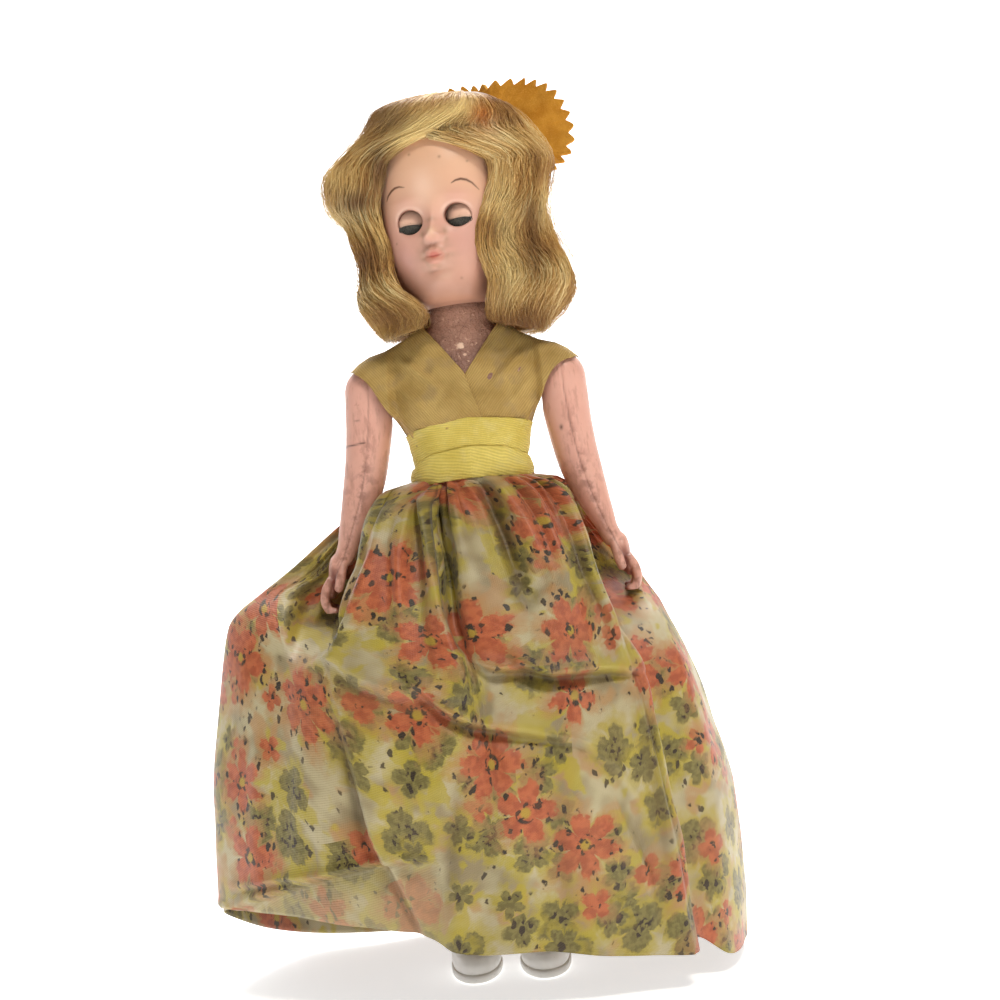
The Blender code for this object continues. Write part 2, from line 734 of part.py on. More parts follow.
# ---- stringing ------------------------------------------------------------
loops = [doughnut(1.95, 0.55, 12, 6, "X", (s * 9.95, 0, SHOULDER_Z)) for s in (-1, 1)]
strand = rod(
    [(-9.95, 2.2, 131), (-9.6, 3.0, 131), (-8.6, 3.3, 131), (8.6, 3.3, 131), (9.6, 3.0, 131), (9.95, 2.2, 131)],
    0.5, 8,
)
piece("arm_elastic", with_added(strand, *loops), root, rubber)
BAR_Z = 108.0
piece("torso_anchor_bar", rod([(-9.6, 0, BAR_Z), (9.6, 0, BAR_Z)], 0.8, 12), root, steel)
top_loop = doughnut(1.55, 0.5, 12, 6, "Z", (0, 0, 142.75))
low_loop = doughnut(1.75, 0.5, 12, 6, "X", (0, 0, BAR_Z))
strand = rod(
    [(0, -1.8, 142.75), (0, -2.5, 142.5), (0, -2.95, 141.4), (0, -2.95, 114.0), (0, -2.6, 110.5), (0, -1.9, 108.4)],
    0.5, 8,
)
piece("head_elastic", with_added(strand, top_loop, low_loop), root, rubber)

# ---- head -----------------------------------------------------------------
# bumps on the face: x, z, height, spread in x, spread in z
FACE_FORMS = [
    (0.0, 163.9, 2.5, 1.5, 1.7),
    (0.0, 167.2, 0.9, 1.3, 2.6),
    (0.0, 158.4, 0.9, 2.2, 1.2),
    (0.0, 153.0, 0.6, 2.6, 2.0),
    (-8.0, 159.8, 0.7, 3.4, 3.2),
    (8.0, 159.8, 0.7, 3.4, 3.2),
    (-5.5, 167.0, -0.7, 3.3, 2.8),
    (5.5, 167.0, -0.7, 3.3, 2.8),
]


def head_ring(row, n, grow):
    z, a, f, b = row
    pts = oval(n, z, a + grow, a + grow, f + grow, b + grow, power=2.1)
    out = []
    for x, y, zz in pts:
        if y < 0 and grow > -0.5:
            front = min(1.0, -y / (f + grow))
            push = sum(h * math.exp(-(((x - cx) / sx) ** 2) - ((zz - cz) / sz) ** 2) for cx, cz, h, sx, sz in FACE_FORMS)
            y -= push * front
        out.append((x, y, zz))
    return out


head_rows = [(148.4, 7.9, 7.9, 7.9), (148.8, 9.4, 11.6, 8.9), (149.8, 10.1, 13.6, 9.6)]
for z in (151.6, 153.6, 156.0, 158.4, 161.0, 163.8, 166.9, 170.0, 174.0, 178.5, 183.0, 187.5, 191.0, 193.0):
    head_rows.append((z, *row_at(HEAD_ROWS, z)))
head_rows.append((193.5, 0.8, 0.8, 0.8))
outer = loft([head_ring(r, 32, 0.0) for r in head_rows])
inner = loft(
    [
        oval(20, z, a - WALL, a - WALL, f - WALL, b - WALL, power=2.1)
        for z, a, f, b in [
            (150.0, 10.2, 13.5, 9.6),
            (153.0, 11.7, 14.9, 11.0),
            (158.0, 13.6, 15.2, 13.2),
            (165.0, 15.1, 15.4, 16.2),
            (173.0, 15.5, 15.7, 17.5),
            (180.0, 15.0, 15.2, 16.8),
            (186.0, 12.8, 12.9, 14.0),
            (190.0, 8.6, 8.6, 9.4),
            (192.0, 3.0, 3.0, 3.0),
        ]
    ]
)
neck_hole = turned([(7.3, 140), (7.3, 151.4)], 24, "Z")


def ball_profile(radius, steps):
    """A sphere's profile with small flats at its poles."""
    angles = [math.radians(6 + 168 * k / steps) for k in range(steps + 1)]
    return [(radius * math.sin(a), -radius * math.cos(a)) for a in angles]


eye_cuts = []
for s in (-1, 1):
    # the round hole opens into a ball-shaped socket that clears the eye
    socket_r = 4.75
    first = math.asin(EYE_HOLE_R / socket_r)
    steps = [first + (math.radians(172) - first) * k / 7 for k in range(8)]
    profile = [(EYE_HOLE_R, -14)] + [(socket_r * math.sin(a), -socket_r * math.cos(a)) for a in steps]
    eye_cuts.append(turned(profile, 18, "Y", (s * EYE_X, EYE_Y, EYE_Z)))
head_shell = less(outer, inner, neck_hole)
face = less(head_shell, block((-40, -0.15, 100), (40, 60, 220)), *eye_cuts)
back = less(head_shell, block((-40, -60, 100), (40, 0.15, 220)))
piece("head_face_shell", moved(face, HEAD_PLACE), head, skin)
piece("head_back_shell", moved(back, HEAD_PLACE), head, skin)

# head bar and the hook that the neck elastic pulls
piece("head_anchor_bar", moved(rod([(-11.2, 0, 158.0), (11.2, 0, 158.0)], 0.9, 12), HEAD_PLACE), head, steel)
bar_at = HEAD_PLACE @ Vector((0, 0, 158.0))
eyelet = doughnut(1.75, 0.42, 12, 6, "X", (0, 0, 0))
eyelet = moved(eyelet, Matrix.Translation(bar_at) @ Matrix.Rotation(HEAD_YAW, 4, "Z"))
stem = turned([(1.9, 140.9), (1.9, 141.8), (0.6, 141.8), (0.6, 156.6)], 12, "Z")
stem = moved(stem, Matrix.Identity(4))
piece("head_hook", with_added(stem, eyelet), head, steel)


# ---- sleep eyes -------------------------------------------------------------
def head_piece(name, me, body, finish):
    return piece(name, moved(me, HEAD_PLACE), body, finish)


for s, side in ((-1, "right"), (1, "left")):
    # ball about the crossbar's line, its inner side cut flat
    ball = turned(ball_profile(EYE_R, 8), 14, "X", (s * EYE_X, EYE_Y, EYE_Z))
    head_piece(f"eye_{side}", ball, eyes, eye_white)
    # lash strip on the lid's edge
    rows_o, rows_i = [], []
    for k in range(9):
        across = -2.2 + 4.4 * k / 8
        ro, ri = [], []
        for j in range(3):
            a = math.radians(-24 + 8 * j)  # below the middle of the hole
            for rad, row in ((4.5, ro), (4.16, ri)):
                r = math.sqrt(rad * rad - across * across)
                row.append((s * EYE_X + across, EYE_Y - r * math.cos(a), EYE_Z + r * math.sin(a)))
        rows_o.append(ro)
        rows_i.append(ri)
    head_piece(f"lash_{side}", sheet_solid(rows_o, rows_i, False), eyes, lash_dark)
head_piece("eye_crossbar", rod([(-1.2, EYE_Y, EYE_Z), (1.2, EYE_Y, EYE_Z)], 0.55, 10), eyes, steel)
# weight: hangs behind and below the balls, held by two short stems
weight = block((-3.2, -1.5, -1.5), (3.2, 1.5, 1.5))
weight = moved(weight, Matrix.Translation((0, EYE_Y + 2.3, EYE_Z - 6.4)) @ Matrix.Rotation(math.radians(20), 4, "X"))
stems = [
    rod([(s * 2.6, EYE_Y + 2.2, EYE_Z - 6.2), (s * 4.2, EYE_Y + 1.5, EYE_Z - 4.15)], 0.5, 8) for s in (-1, 1)
]
head_piece("eye_weight", with_added(weight, *stems), eyes, lead)
# bridge behind the nose that carries the crossbar
bridge = block((-0.6, -13.2, 163.6), (0.6, -6.8, 170.4))
bridge = less(bridge, turned([(0.95, -3), (0.95, 3)], 14, "X", (0, EYE_Y, EYE_Z)))
head_piece("eye_bridge", bridge, head, steel)

# ---- wig --------------------------------------------------------------------
FACE_OPENING = [
    (-18.0, 130.0), (-14.0, 150.0), (-13.4, 160.0), (-13.6, 170.0), (-12.4, 177.0), (-8.5, 182.6), (-2.0, 185.4),
    (4.0, 184.0), (8.6, 178.0), (10.4, 170.0), (10.6, 160.0), (10.4, 150.0), (12.0, 130.0),
]


def cap_rows(grow):
    return [
        (z, a + grow, f + grow, b + grow)
        for z, a, f, b in [
            (156.0, *row_at(HEAD_ROWS, 156.0)),
            (162.0, *row_at(HEAD_ROWS, 162.0)),
            (168.0, *row_at(HEAD_ROWS, 168.0)),
            (175.0, *row_at(HEAD_ROWS, 175.0)),
            (181.0, *row_at(HEAD_ROWS, 181.0)),
            (186.0, *row_at(HEAD_ROWS, 186.0)),
            (190.0, *row_at(HEAD_ROWS, 190.0)),
        ]
    ]


def cap_solid(grow, lift, low=None):
    rings = [oval(20, z + lift * max(0, (z - 168) / 25), a, a, f, b, power=2.1) for z, a, f, b in cap_rows(grow)]
    rings.append(oval(20, 192.9 + lift, 4.9 + grow * 0.5, 4.9 + grow * 0.5, 4.9 + grow * 0.5, 5.3 + grow * 0.5))
    rings.append(oval(20, 193.55 + lift, 1.2, 1.2, 1.2, 1.2))
    if low is not None:
        z, a, f, b = cap_rows(grow)[0]
        rings.insert(0, oval(20, low, a, a, f, b, power=2.1))
    return loft(rings)


cap = less(cap_solid(1.1, 1.1), cap_solid(0.5, 0.5, 150.0))
wider = [(x * 1.0, z) for x, z in FACE_OPENING]
cap = less(cap, prism(wider, -40, -1.0))
head_piece("wig_cap", cap, head, net)

blob = loft([oval(28, z, r, l, f, b, power=2.15) for z, r, l, f, b in HAIR_ROWS])
core = cap_solid(1.45, 1.5)
# the room round the neck under the head
throat = loft(
    [
        oval(20, 130.0, 14.4, 14.4, 30.0, 11.0),
        oval(20, 146.0, 14.6, 14.6, 30.0, 12.0),
        oval(20, 152.0, 15.0, 15.0, 22.0, 14.0),
        oval(20, 158.0, 15.1, 15.1, 18.0, 14.9),
    ]
)
core = with_added(core, throat)
hair = less(blob, core, prism(FACE_OPENING, -60, -0.5))
hair = moved(hair, HEAD_PLACE)
# the locks end above the shoulders all the way round as the head turns
shoulder_room = turned([(0.5, 120), (60, 120), (60, 140.7), (20.3, 140.7), (9.0, 145.9), (0.5, 148.0)], 36, "Z")
hair = less(hair, shoulder_room)
piece("wig_hair", hair, head, hair_fibre)

# pinked felt rosette behind the head, and the pin that holds it to the wig
ring = []
for i in range(2 * ORNAMENT_TEETH):
    t = math.pi * i / ORNAMENT_TEETH
    grow = 0.0 if i % 2 else -1.7
    x = (ORNAMENT_R + grow) * signed_power(math.cos(t), 2 / 2.7)
    z = (ORNAMENT_HIGH + grow) * signed_power(math.sin(t), 2 / 2.7)
    ring.append((x - 1.1, z + 7.6))
disc = loft([[(x, y, z) for x, z in ring] for y in (-0.5, 0.5)])
place = Matrix.Translation((7.5, 25.3, 182.0)) @ Matrix.Rotation(math.radians(-2), 4, "X")
disc = less(disc, turned([(0.9, -2), (0.9, 2)], 12, "Y"))
piece("hair_ornament", moved(disc, HEAD_PLACE @ place), head, felt, smooth=False)
pin = turned([(0.4, -1.6), (0.55, 1.0), (1.9, 1.0), (1.5, 1.7), (0.5, 2.0)], 14, "Y")
piece("ornament_pin", moved(pin, HEAD_PLACE @ place), head, steel)
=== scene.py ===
"""Looks of a small strung doll of hard plastic in a long gathered gown.

Shapes are worked out in millimetres from the body's own axis (x to the doll's
left, -y to its front, z up) and placed in the frame by world().
"""

import math

import bmesh
import bpy
import numpy as np
from mathutils import Matrix, Vector

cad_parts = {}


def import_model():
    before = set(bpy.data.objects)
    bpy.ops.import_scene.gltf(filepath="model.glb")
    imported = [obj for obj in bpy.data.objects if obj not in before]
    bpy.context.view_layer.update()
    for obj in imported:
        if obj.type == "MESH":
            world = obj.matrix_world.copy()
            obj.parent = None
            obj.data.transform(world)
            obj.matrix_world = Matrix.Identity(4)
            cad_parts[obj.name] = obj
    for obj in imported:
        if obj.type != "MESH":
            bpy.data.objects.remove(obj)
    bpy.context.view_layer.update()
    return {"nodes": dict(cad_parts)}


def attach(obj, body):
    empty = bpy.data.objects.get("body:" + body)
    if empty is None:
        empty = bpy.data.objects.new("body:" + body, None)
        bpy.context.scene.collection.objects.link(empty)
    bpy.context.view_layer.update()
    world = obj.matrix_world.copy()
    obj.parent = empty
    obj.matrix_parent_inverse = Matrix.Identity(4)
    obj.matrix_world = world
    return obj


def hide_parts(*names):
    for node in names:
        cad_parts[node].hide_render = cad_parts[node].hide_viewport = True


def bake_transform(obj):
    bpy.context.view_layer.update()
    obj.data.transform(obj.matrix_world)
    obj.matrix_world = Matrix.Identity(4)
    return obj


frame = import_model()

NODES = frame["nodes"]
BODY_X = 5.35
NECK_RIM_Z = 148.4
HEAD_YAW, HEAD_ROLL = math.radians(-11.5), math.radians(3.0)
EYE_Y, EYE_Z = -8.9, 166.9


# ---- small numeric helpers ------------------------------------------------
def world(p):
    p = np.asarray(p, float)
    return (p + np.array([BODY_X, 0, 0])) * 0.001


def smooth(a, b, x):
    t = np.clip((np.asarray(x, float) - a) / (b - a), 0, 1)
    return t * t * (3 - 2 * t)


def lerp(a, b, t):
    return a + (b - a) * t


def eased(xs, ys, x):
    """A smooth curve through (xs, ys) that doesn't overshoot."""
    xs, ys = np.asarray(xs, float), np.asarray(ys, float)
    order = np.argsort(xs)
    xs, ys = xs[order], ys[order]
    h = np.diff(xs)
    d = np.diff(ys) / h
    m = np.zeros_like(ys)
    m[0], m[-1] = d[0], d[-1]
    for i in range(1, len(xs) - 1):
        if d[i - 1] * d[i] > 0:
            w1, w2 = 2 * h[i] + h[i - 1], h[i] + 2 * h[i - 1]
            m[i] = (w1 + w2) / (w1 / d[i - 1] + w2 / d[i])
    x = np.clip(np.asarray(x, float), xs[0], xs[-1])
    i = np.clip(np.searchsorted(xs, x, side="right") - 1, 0, len(xs) - 2)
    t = (x - xs[i]) / h[i]
    return (
        (1 + 2 * t) * (1 - t) ** 2 * ys[i]
        + t * (1 - t) ** 2 * h[i] * m[i]
        + t * t * (3 - 2 * t) * ys[i + 1]
        + t * t * (t - 1) * h[i] * m[i + 1]
    )


def hashed(*ints):
    """A repeatable number from 0 to 1 for each set of whole numbers."""
    v = np.zeros(np.broadcast(*ints).shape)
    for k, i in enumerate(ints):
        v = v + np.asarray(i, float) * (12.9898, 78.233, 37.719, 11.135)[k]
    v = np.sin(v) * 43758.5453
    return v - np.floor(v)


def lumps(p, size, seed=0.0):
    """Smooth noise from -1 to 1 at points p, with lumps of about that size."""
    q = np.asarray(p, float) / size + seed * 7.31
    i = np.floor(q).astype(int)
    f = q - i
    f = f * f * (3 - 2 * f)
    total = 0
    for dx in (0, 1):
        for dy in (0, 1):
            for dz in (0, 1):
                w = (
                    (f[..., 0] if dx else 1 - f[..., 0])
                    * (f[..., 1] if dy else 1 - f[..., 1])
                    * (f[..., 2] if dz else 1 - f[..., 2])
                )
                total = total + w * hashed(i[..., 0] + dx, i[..., 1] + dy, i[..., 2] + dz)
    return 2 * total - 1


def near_line(px, pz, line):
    """Distance of points to a polyline in the x, z plane, and how far along it (0 to 1)."""
    best = np.full(np.shape(px), 1e9)
    along = np.zeros(np.shape(px))
    side = np.zeros(np.shape(px))
    n = len(line) - 1
    for k in range(n):
        (ax, az), (bx, bz) = line[k][:2], line[k + 1][:2]
        ux, uz = bx - ax, bz - az
        t = np.clip(((px - ax) * ux + (pz - az) * uz) / (ux * ux + uz * uz), 0, 1)
        d = np.hypot(px - ax - t * ux, pz - az - t * uz)
        closer = d < best
        best = np.where(closer, d, best)
        along = np.where(closer, (k + t) / n, along)
        side = np.where(closer, np.sign(ux * (pz - az) - uz * (px - ax)), side)
    return best, along, side


# ---- mesh helpers ---------------------------------------------------------
def build(name, verts, faces, material, uv=None, colour=None, values=None, flat=False):
    """A mesh object from millimetre points and an array of equal-sided faces."""
    faces = np.asarray(faces, int)
    k = faces.shape[1]
    me = bpy.data.meshes.new(name)
    v = world(verts)
    me.vertices.add(len(v))
    me.vertices.foreach_set("co", v.astype(np.float32).ravel())
    me.loops.add(faces.size)
    me.loops.foreach_set("vertex_index", faces.astype(np.int32).ravel())
    me.polygons.add(len(faces))
    me.polygons.foreach_set("loop_start", np.arange(0, faces.size, k, dtype=np.int32))
    me.update(calc_edges=True)
    if uv is not None:
        layer = me.uv_layers.new(name="flat")
        layer.uv.foreach_set("vector", np.asarray(uv, np.float32).reshape(-1))
    if colour is not None:
        a = me.color_attributes.new("tint", "FLOAT_COLOR", "POINT")
        c = np.ones((len(v), 4), np.float32)
        c[:, :3] = colour
        a.data.foreach_set("color", c.ravel())
    for key, val in (values or {}).items():
        a = me.attributes.new(key, "FLOAT", "POINT")
        a.data.foreach_set("value", np.asarray(val, np.float32).ravel())
    me.validate()
    if not flat:
        me.shade_smooth()
    me.materials.append(material)
    o = bpy.data.objects.new(name, me)
    bpy.context.scene.collection.objects.link(o)
    return o


def grid_faces(rows, cols, around=False, flip=False):
    i, j = np.meshgrid(np.arange(rows - 1), np.arange(cols if around else cols - 1), indexing="ij")
    jn = (j + 1) % cols
    a, b, c, d = i * cols + j, i * cols + jn, (i + 1) * cols + jn, (i + 1) * cols + j
    q = np.stack([a, d, c, b] if flip else [a, b, c, d], -1).reshape(-1, 4)
    return q


def grid_uv(u, v, around=False, flip=False):
    """Per-corner coordinates for grid_faces; u and v have one column more if around."""
    rows, cols = u.shape
    i, j = np.meshgrid(np.arange(rows - 1), np.arange(cols - 1), indexing="ij")
    corners = [(i, j), (i, j + 1), (i + 1, j + 1), (i + 1, j)]
    if flip:
        corners = [corners[0], corners[3], corners[2], corners[1]]
    return np.stack([np.stack([u[c], v[c]], -1) for c in corners], 2).reshape(-1, 2)


def thicken(o, thickness, offset=-1.0):
    m = o.modifiers.new("thickness", "SOLIDIFY")
    m.thickness = thickness * 0.001
    m.offset = offset
    m.use_even_offset = False
    apply_modifiers(o)
    return o


def apply_modifiers(o):
    bpy.context.view_layer.update()
    dg = bpy.context.evaluated_depsgraph_get()
    me = bpy.data.meshes.new_from_object(o.evaluated_get(dg), preserve_all_data_layers=True, depsgraph=dg)
    o.modifiers.clear()
    old = o.data
    o.data = me
    bpy.data.meshes.remove(old)
    return o


def area_of(o):
    return sum(p.area for p in o.data.polygons)


def oval(t, right, left, front, back, power=2.0):
    """Points of rings: t is the angle from the front (-y) towards +x."""
    s, c = np.sin(t), np.cos(t)
    sx = np.sign(s) * np.abs(s) ** (2 / power)
    cy = np.sign(c) * np.abs(c) ** (2 / power)
    return sx * np.where(s > 0, left, right), -cy * np.where(c > 0, front, back)


def tube(points, radius, n=10):
    """Vertices and faces of a round tube with closed ends through points."""
    p = np.asarray(points, float)
    r = np.broadcast_to(radius, (len(p),)).astype(float)
    d = np.gradient(p, axis=0)
    d /= np.linalg.norm(d, axis=1)[:, None] + 1e-12
    side = np.cross(d[0], [0.3, 0.9, 0.2])
    side /= np.linalg.norm(side)
    rings = []
    for k in range(len(p)):
        side = side - d[k] * (side @ d[k])
        side /= np.linalg.norm(side)
        up = np.cross(d[k], side)
        a = 2 * np.pi * np.arange(n) / n
        rings.append(p[k] + r[k] * (np.cos(a)[:, None] * side + np.sin(a)[:, None] * up))
    v = np.concatenate(rings + [p[:1] - d[0] * r[0] * 0.6, p[-1:] + d[-1] * r[-1] * 0.6])
    f = [tuple(q) for q in grid_faces(len(p), n, True)]
    first, last = len(p) * n, len(p) * n + 1
    f += [(first, (j + 1) % n, j) for j in range(n)]
    f += [(last, (len(p) - 1) * n + j, (len(p) - 1) * n + (j + 1) % n) for j in range(n)]
    return v, f


def merged(parts):
    """Joins (vertices, faces) pairs into one bmesh in millimetres."""
    bm = bmesh.new()
    for v, f in parts:
        vs = [bm.verts.new(p) for p in v]
        for q in f:
            try:
                bm.faces.new([vs[i] for i in q])
            except ValueError:
                pass
    bmesh.ops.recalc_face_normals(bm, faces=bm.faces)
    return bm


def remeshed(parts, voxel, rounds=2):
    """One smooth skin over overlapping closed shapes: vertices and quads in millimetres."""
    bm = merged(parts)
    me = bpy.data.meshes.new("work")
    bm.to_mesh(me)
    bm.free()
    o = bpy.data.objects.new("work", me)
    bpy.context.scene.collection.objects.link(o)
    m = o.modifiers.new("skin", "REMESH")
    m.mode, m.voxel_size, m.adaptivity = "VOXEL", voxel, 0.0
    if rounds:
        s = o.modifiers.new("even", "SMOOTH")
        s.iterations, s.factor = rounds, 0.5
    apply_modifiers(o)
    me = o.data
    v = np.zeros(len(me.vertices) * 3)
    me.vertices.foreach_get("co", v)
    f = np.array([tuple(p.vertices) for p in me.polygons if len(p.vertices) == 4])
    bpy.data.objects.remove(o, do_unlink=True)
    return v.reshape(-1, 3), f


def ball(at, rx, ry, rz, n=20, m=12):
    t = np.pi * np.arange(1, m) / m
    a = 2 * np.pi * np.arange(n) / n
    v = [(at[0] + rx * np.sin(q) * np.cos(b), at[1] + ry * np.sin(q) * np.sin(b), at[2] + rz * np.cos(q)) for q in t for b in a]
    f = [tuple(q) for q in grid_faces(m - 1, n, True)]
    v += [(at[0], at[1], at[2] + rz), (at[0], at[1], at[2] - rz)]
    f += [(len(v) - 2, (j + 1) % n, j) for j in range(n)]
    f += [(len(v) - 1, (m - 2) * n + j, (m - 2) * n + (j + 1) % n) for j in range(n)]
    return np.array(v), f


# ---- head placement --------------------------------------------------------
HEAD_PLACE = (
    Matrix.Translation((0, 0, NECK_RIM_Z))
    @ Matrix.Rotation(HEAD_YAW, 4, "Z")
    @ Matrix.Rotation(-HEAD_ROLL, 4, "Y")
    @ Matrix.Translation((0, 0, -NECK_RIM_Z))
)
HEAD_M = np.array(HEAD_PLACE)


def headed(p):
    """Head-local millimetres to the body's own."""
    p = np.asarray(p, float)
    return p @ HEAD_M[:3, :3].T + HEAD_M[:3, 3]


# ---- materials ---------------------------------------------------------------
def rgb(r, g, b):
    return tuple(
        (c / 255 / 12.92 if c / 255 <= 0.04045 else ((c / 255 + 0.055) / 1.055) ** 2.4) for c in (r, g, b)
    )


class Finish:
    """A material with short ways to add nodes to it."""

    def __init__(self, name, rough=0.5, **sockets):
        self.m = bpy.data.materials.new(name)
        self.m.use_nodes = True
        self.t = self.m.node_tree
        self.b = self.t.nodes["Principled BSDF"]
        self.b.inputs["Roughness"].default_value = rough
        for k, v in sockets.items():
            self.b.inputs[k.replace("_", " ")].default_value = v

    def put(self, socket, value):
        if isinstance(value, bpy.types.NodeSocket):
            self.t.links.new(value, socket)
        elif isinstance(value, tuple) and len(value) == 3 and socket.type == "RGBA":
            socket.default_value = (*value, 1)
        else:
            socket.default_value = value

    def node(self, kind, **given):
        n = self.t.nodes.new("ShaderNode" + kind)
        for k, v in given.items():
            if hasattr(n, k):
                setattr(n, k, v)
            else:
                self.put(n.inputs[k.replace("_", " ")], v)
        return n

    def calc(self, op, a, b=0.0, c=None, clamp=False):
        n = self.t.nodes.new("ShaderNodeMath")
        n.operation = op
        n.use_clamp = clamp
        self.put(n.inputs[0], a)
        self.put(n.inputs[1], b)
        if c is not None:
            self.put(n.inputs[2], c)
        return n.outputs[0]

    def vec(self, op, a, b=(0, 0, 0), scale=None, out=0):
        n = self.t.nodes.new("ShaderNodeVectorMath")
        n.operation = op
        self.put(n.inputs[0], a)
        self.put(n.inputs[1], b)
        if scale is not None:
            self.put(n.inputs["Scale"], scale)
        return n.outputs[out]

    def place(self):
        """Object coordinates in millimetres."""
        n = self.t.nodes.new("ShaderNodeTexCoord")
        return self.vec("SCALE", n.outputs["Object"], scale=1000.0)

    def flat(self):
        """The cloth's own flat coordinates, in millimetres."""
        n = self.t.nodes.new("ShaderNodeUVMap")
        n.uv_map = "flat"
        return n.outputs[0]

    def part(self, vector, axis):
        n = self.t.nodes.new("ShaderNodeSeparateXYZ")
        self.put(n.inputs[0], vector)
        return n.outputs[axis]

    def made(self, x, y=0.0, z=0.0):
        n = self.t.nodes.new("ShaderNodeCombineXYZ")
        for k, v in enumerate((x, y, z)):
            self.put(n.inputs[k], v)
        return n.outputs[0]

    def noise(self, vector, size, detail=2.0, rough=0.5, distort=0.0, colour=False):
        n = self.node("TexNoise", Vector=vector, Scale=1.0 / size, Detail=detail, Roughness=rough, Distortion=distort)
        return n.outputs["Color" if colour else "Fac"]

    def cells(self, vector, size, feature="F1", jitter=1.0, out="Distance", seed=None):
        n = self.t.nodes.new("ShaderNodeTexVoronoi")
        n.feature = feature
        self.put(n.inputs["Vector"], vector)
        n.inputs["Scale"].default_value = 1.0 / size
        if "Randomness" in n.inputs:
            n.inputs["Randomness"].default_value = jitter
        return n.outputs[out]

    def step(self, x, low, high):
        """0 below low, 1 above high, smooth between (low may be the larger)."""
        n = self.t.nodes.new("ShaderNodeMapRange")
        n.interpolation_type = "SMOOTHSTEP"
        self.put(n.inputs["Value"], x)
        if low < high:
            vals = (low, high, 0, 1)
        else:
            vals = (high, low, 1, 0)
        for k, v in zip(("From Min", "From Max", "To Min", "To Max"), vals):
            n.inputs[k].default_value = v
        return n.outputs[0]

    def mix(self, f, a, b, kind="MIX"):
        n = self.t.nodes.new("ShaderNodeMix")
        n.data_type = "RGBA"
        n.blend_type = kind
        self.put(n.inputs[0], f)
        self.put(n.inputs[6], a)
        self.put(n.inputs[7], b)
        return n.outputs[2]

    def value(self, name):
        n = self.t.nodes.new("ShaderNodeAttribute")
        n.attribute_name = name
        return n.outputs["Fac"]

    def tint(self, name="tint"):
        n = self.t.nodes.new("ShaderNodeAttribute")
        n.attribute_name = name
        return n.outputs["Color"]

    def colour(self, value):
        self.put(self.b.inputs["Base Color"], value)
        return self

    def rough(self, value):
        self.put(self.b.inputs["Roughness"], value)
        return self

    def bumps(self, *heights):
        """heights: (height socket, how high in mm)."""
        last = None
        for h, mm in heights:
            n = self.t.nodes.new("ShaderNodeBump")
            n.inputs["Distance"].default_value = mm * 0.001
            n.inputs["Strength"].default_value = 1.0
            self.put(n.inputs["Height"], h)
            if last is not None:
                self.put(n.inputs["Normal"], last)
            last = n.outputs[0]
        self.put(self.b.inputs["Normal"], last)
        return self


def face_finish():
    f = Finish("painted_face_plastic", 0.42, Coat_Weight=0.06, Coat_Roughness=0.3, Subsurface_Weight=0.08)
    f.b.inputs["Subsurface Radius"].default_value = (0.8, 0.4, 0.3)
    f.b.inputs["Subsurface Scale"].default_value = 0.0012
    p = f.place()
    speck = f.step(f.noise(p, 1.1, 3.0, 0.6), 0.68, 0.78)
    base = f.mix(f.calc("MULTIPLY", speck, 0.10), f.tint(), rgb(150, 110, 85))
    mottle = f.noise(p, 6.0, 3.0)
    base = f.mix(f.calc("MULTIPLY", f.step(mottle, 0.35, 0.75), 0.08), base, rgb(205, 165, 140))
    f.colour(base)
    f.rough(f.calc("MULTIPLY_ADD", f.noise(p, 3.0, 4.0), 0.12, 0.37))
    f.bumps((f.noise(p, 0.7, 3.0), 0.012))
    return f.m


def arm_finish():
    f = Finish("pink_arm_plastic", 0.42, Coat_Weight=0.05, Subsurface_Weight=0.06)
    f.b.inputs["Subsurface Radius"].default_value = (0.8, 0.35, 0.25)
    f.b.inputs["Subsurface Scale"].default_value = 0.001
    p = f.place()
    base = f.mix(f.noise(p, 5.0, 3.0), rgb(228, 176, 157), rgb(212, 155, 137))
    dirt = f.calc("MULTIPLY", f.value("grime"), f.step(f.noise(p, 1.9, 3.0, 0.55), 0.42, 0.66))
    base = f.mix(f.calc("MULTIPLY", dirt, 0.6, clamp=True), base, rgb(136, 88, 74))
    streak = f.noise(f.vec("MULTIPLY", p, (1.0, 1.0, 0.28)), 1.5, 4.0, 0.6)
    base = f.mix(f.calc("MULTIPLY", f.step(streak, 0.50, 0.68), 0.42), base, rgb(168, 118, 100))
    spots = f.calc("MULTIPLY", f.step(f.noise(p, 2.2, 5.0, 0.7), 0.62, 0.72), 0.4)
    base = f.mix(spots, base, rgb(176, 115, 98))
    # painted shade in the cupped palm and between the fingers
    base = f.mix(f.value("shade"), base, rgb(110, 48, 34))
    base = f.mix(f.value("mark"), base, rgb(70, 42, 36))
    f.colour(base)
    f.rough(f.calc("MULTIPLY_ADD", f.noise(p, 2.0, 4.0), 0.18, 0.33))
    f.bumps((f.noise(p, 0.9, 4.0), 0.03))
    return f.m


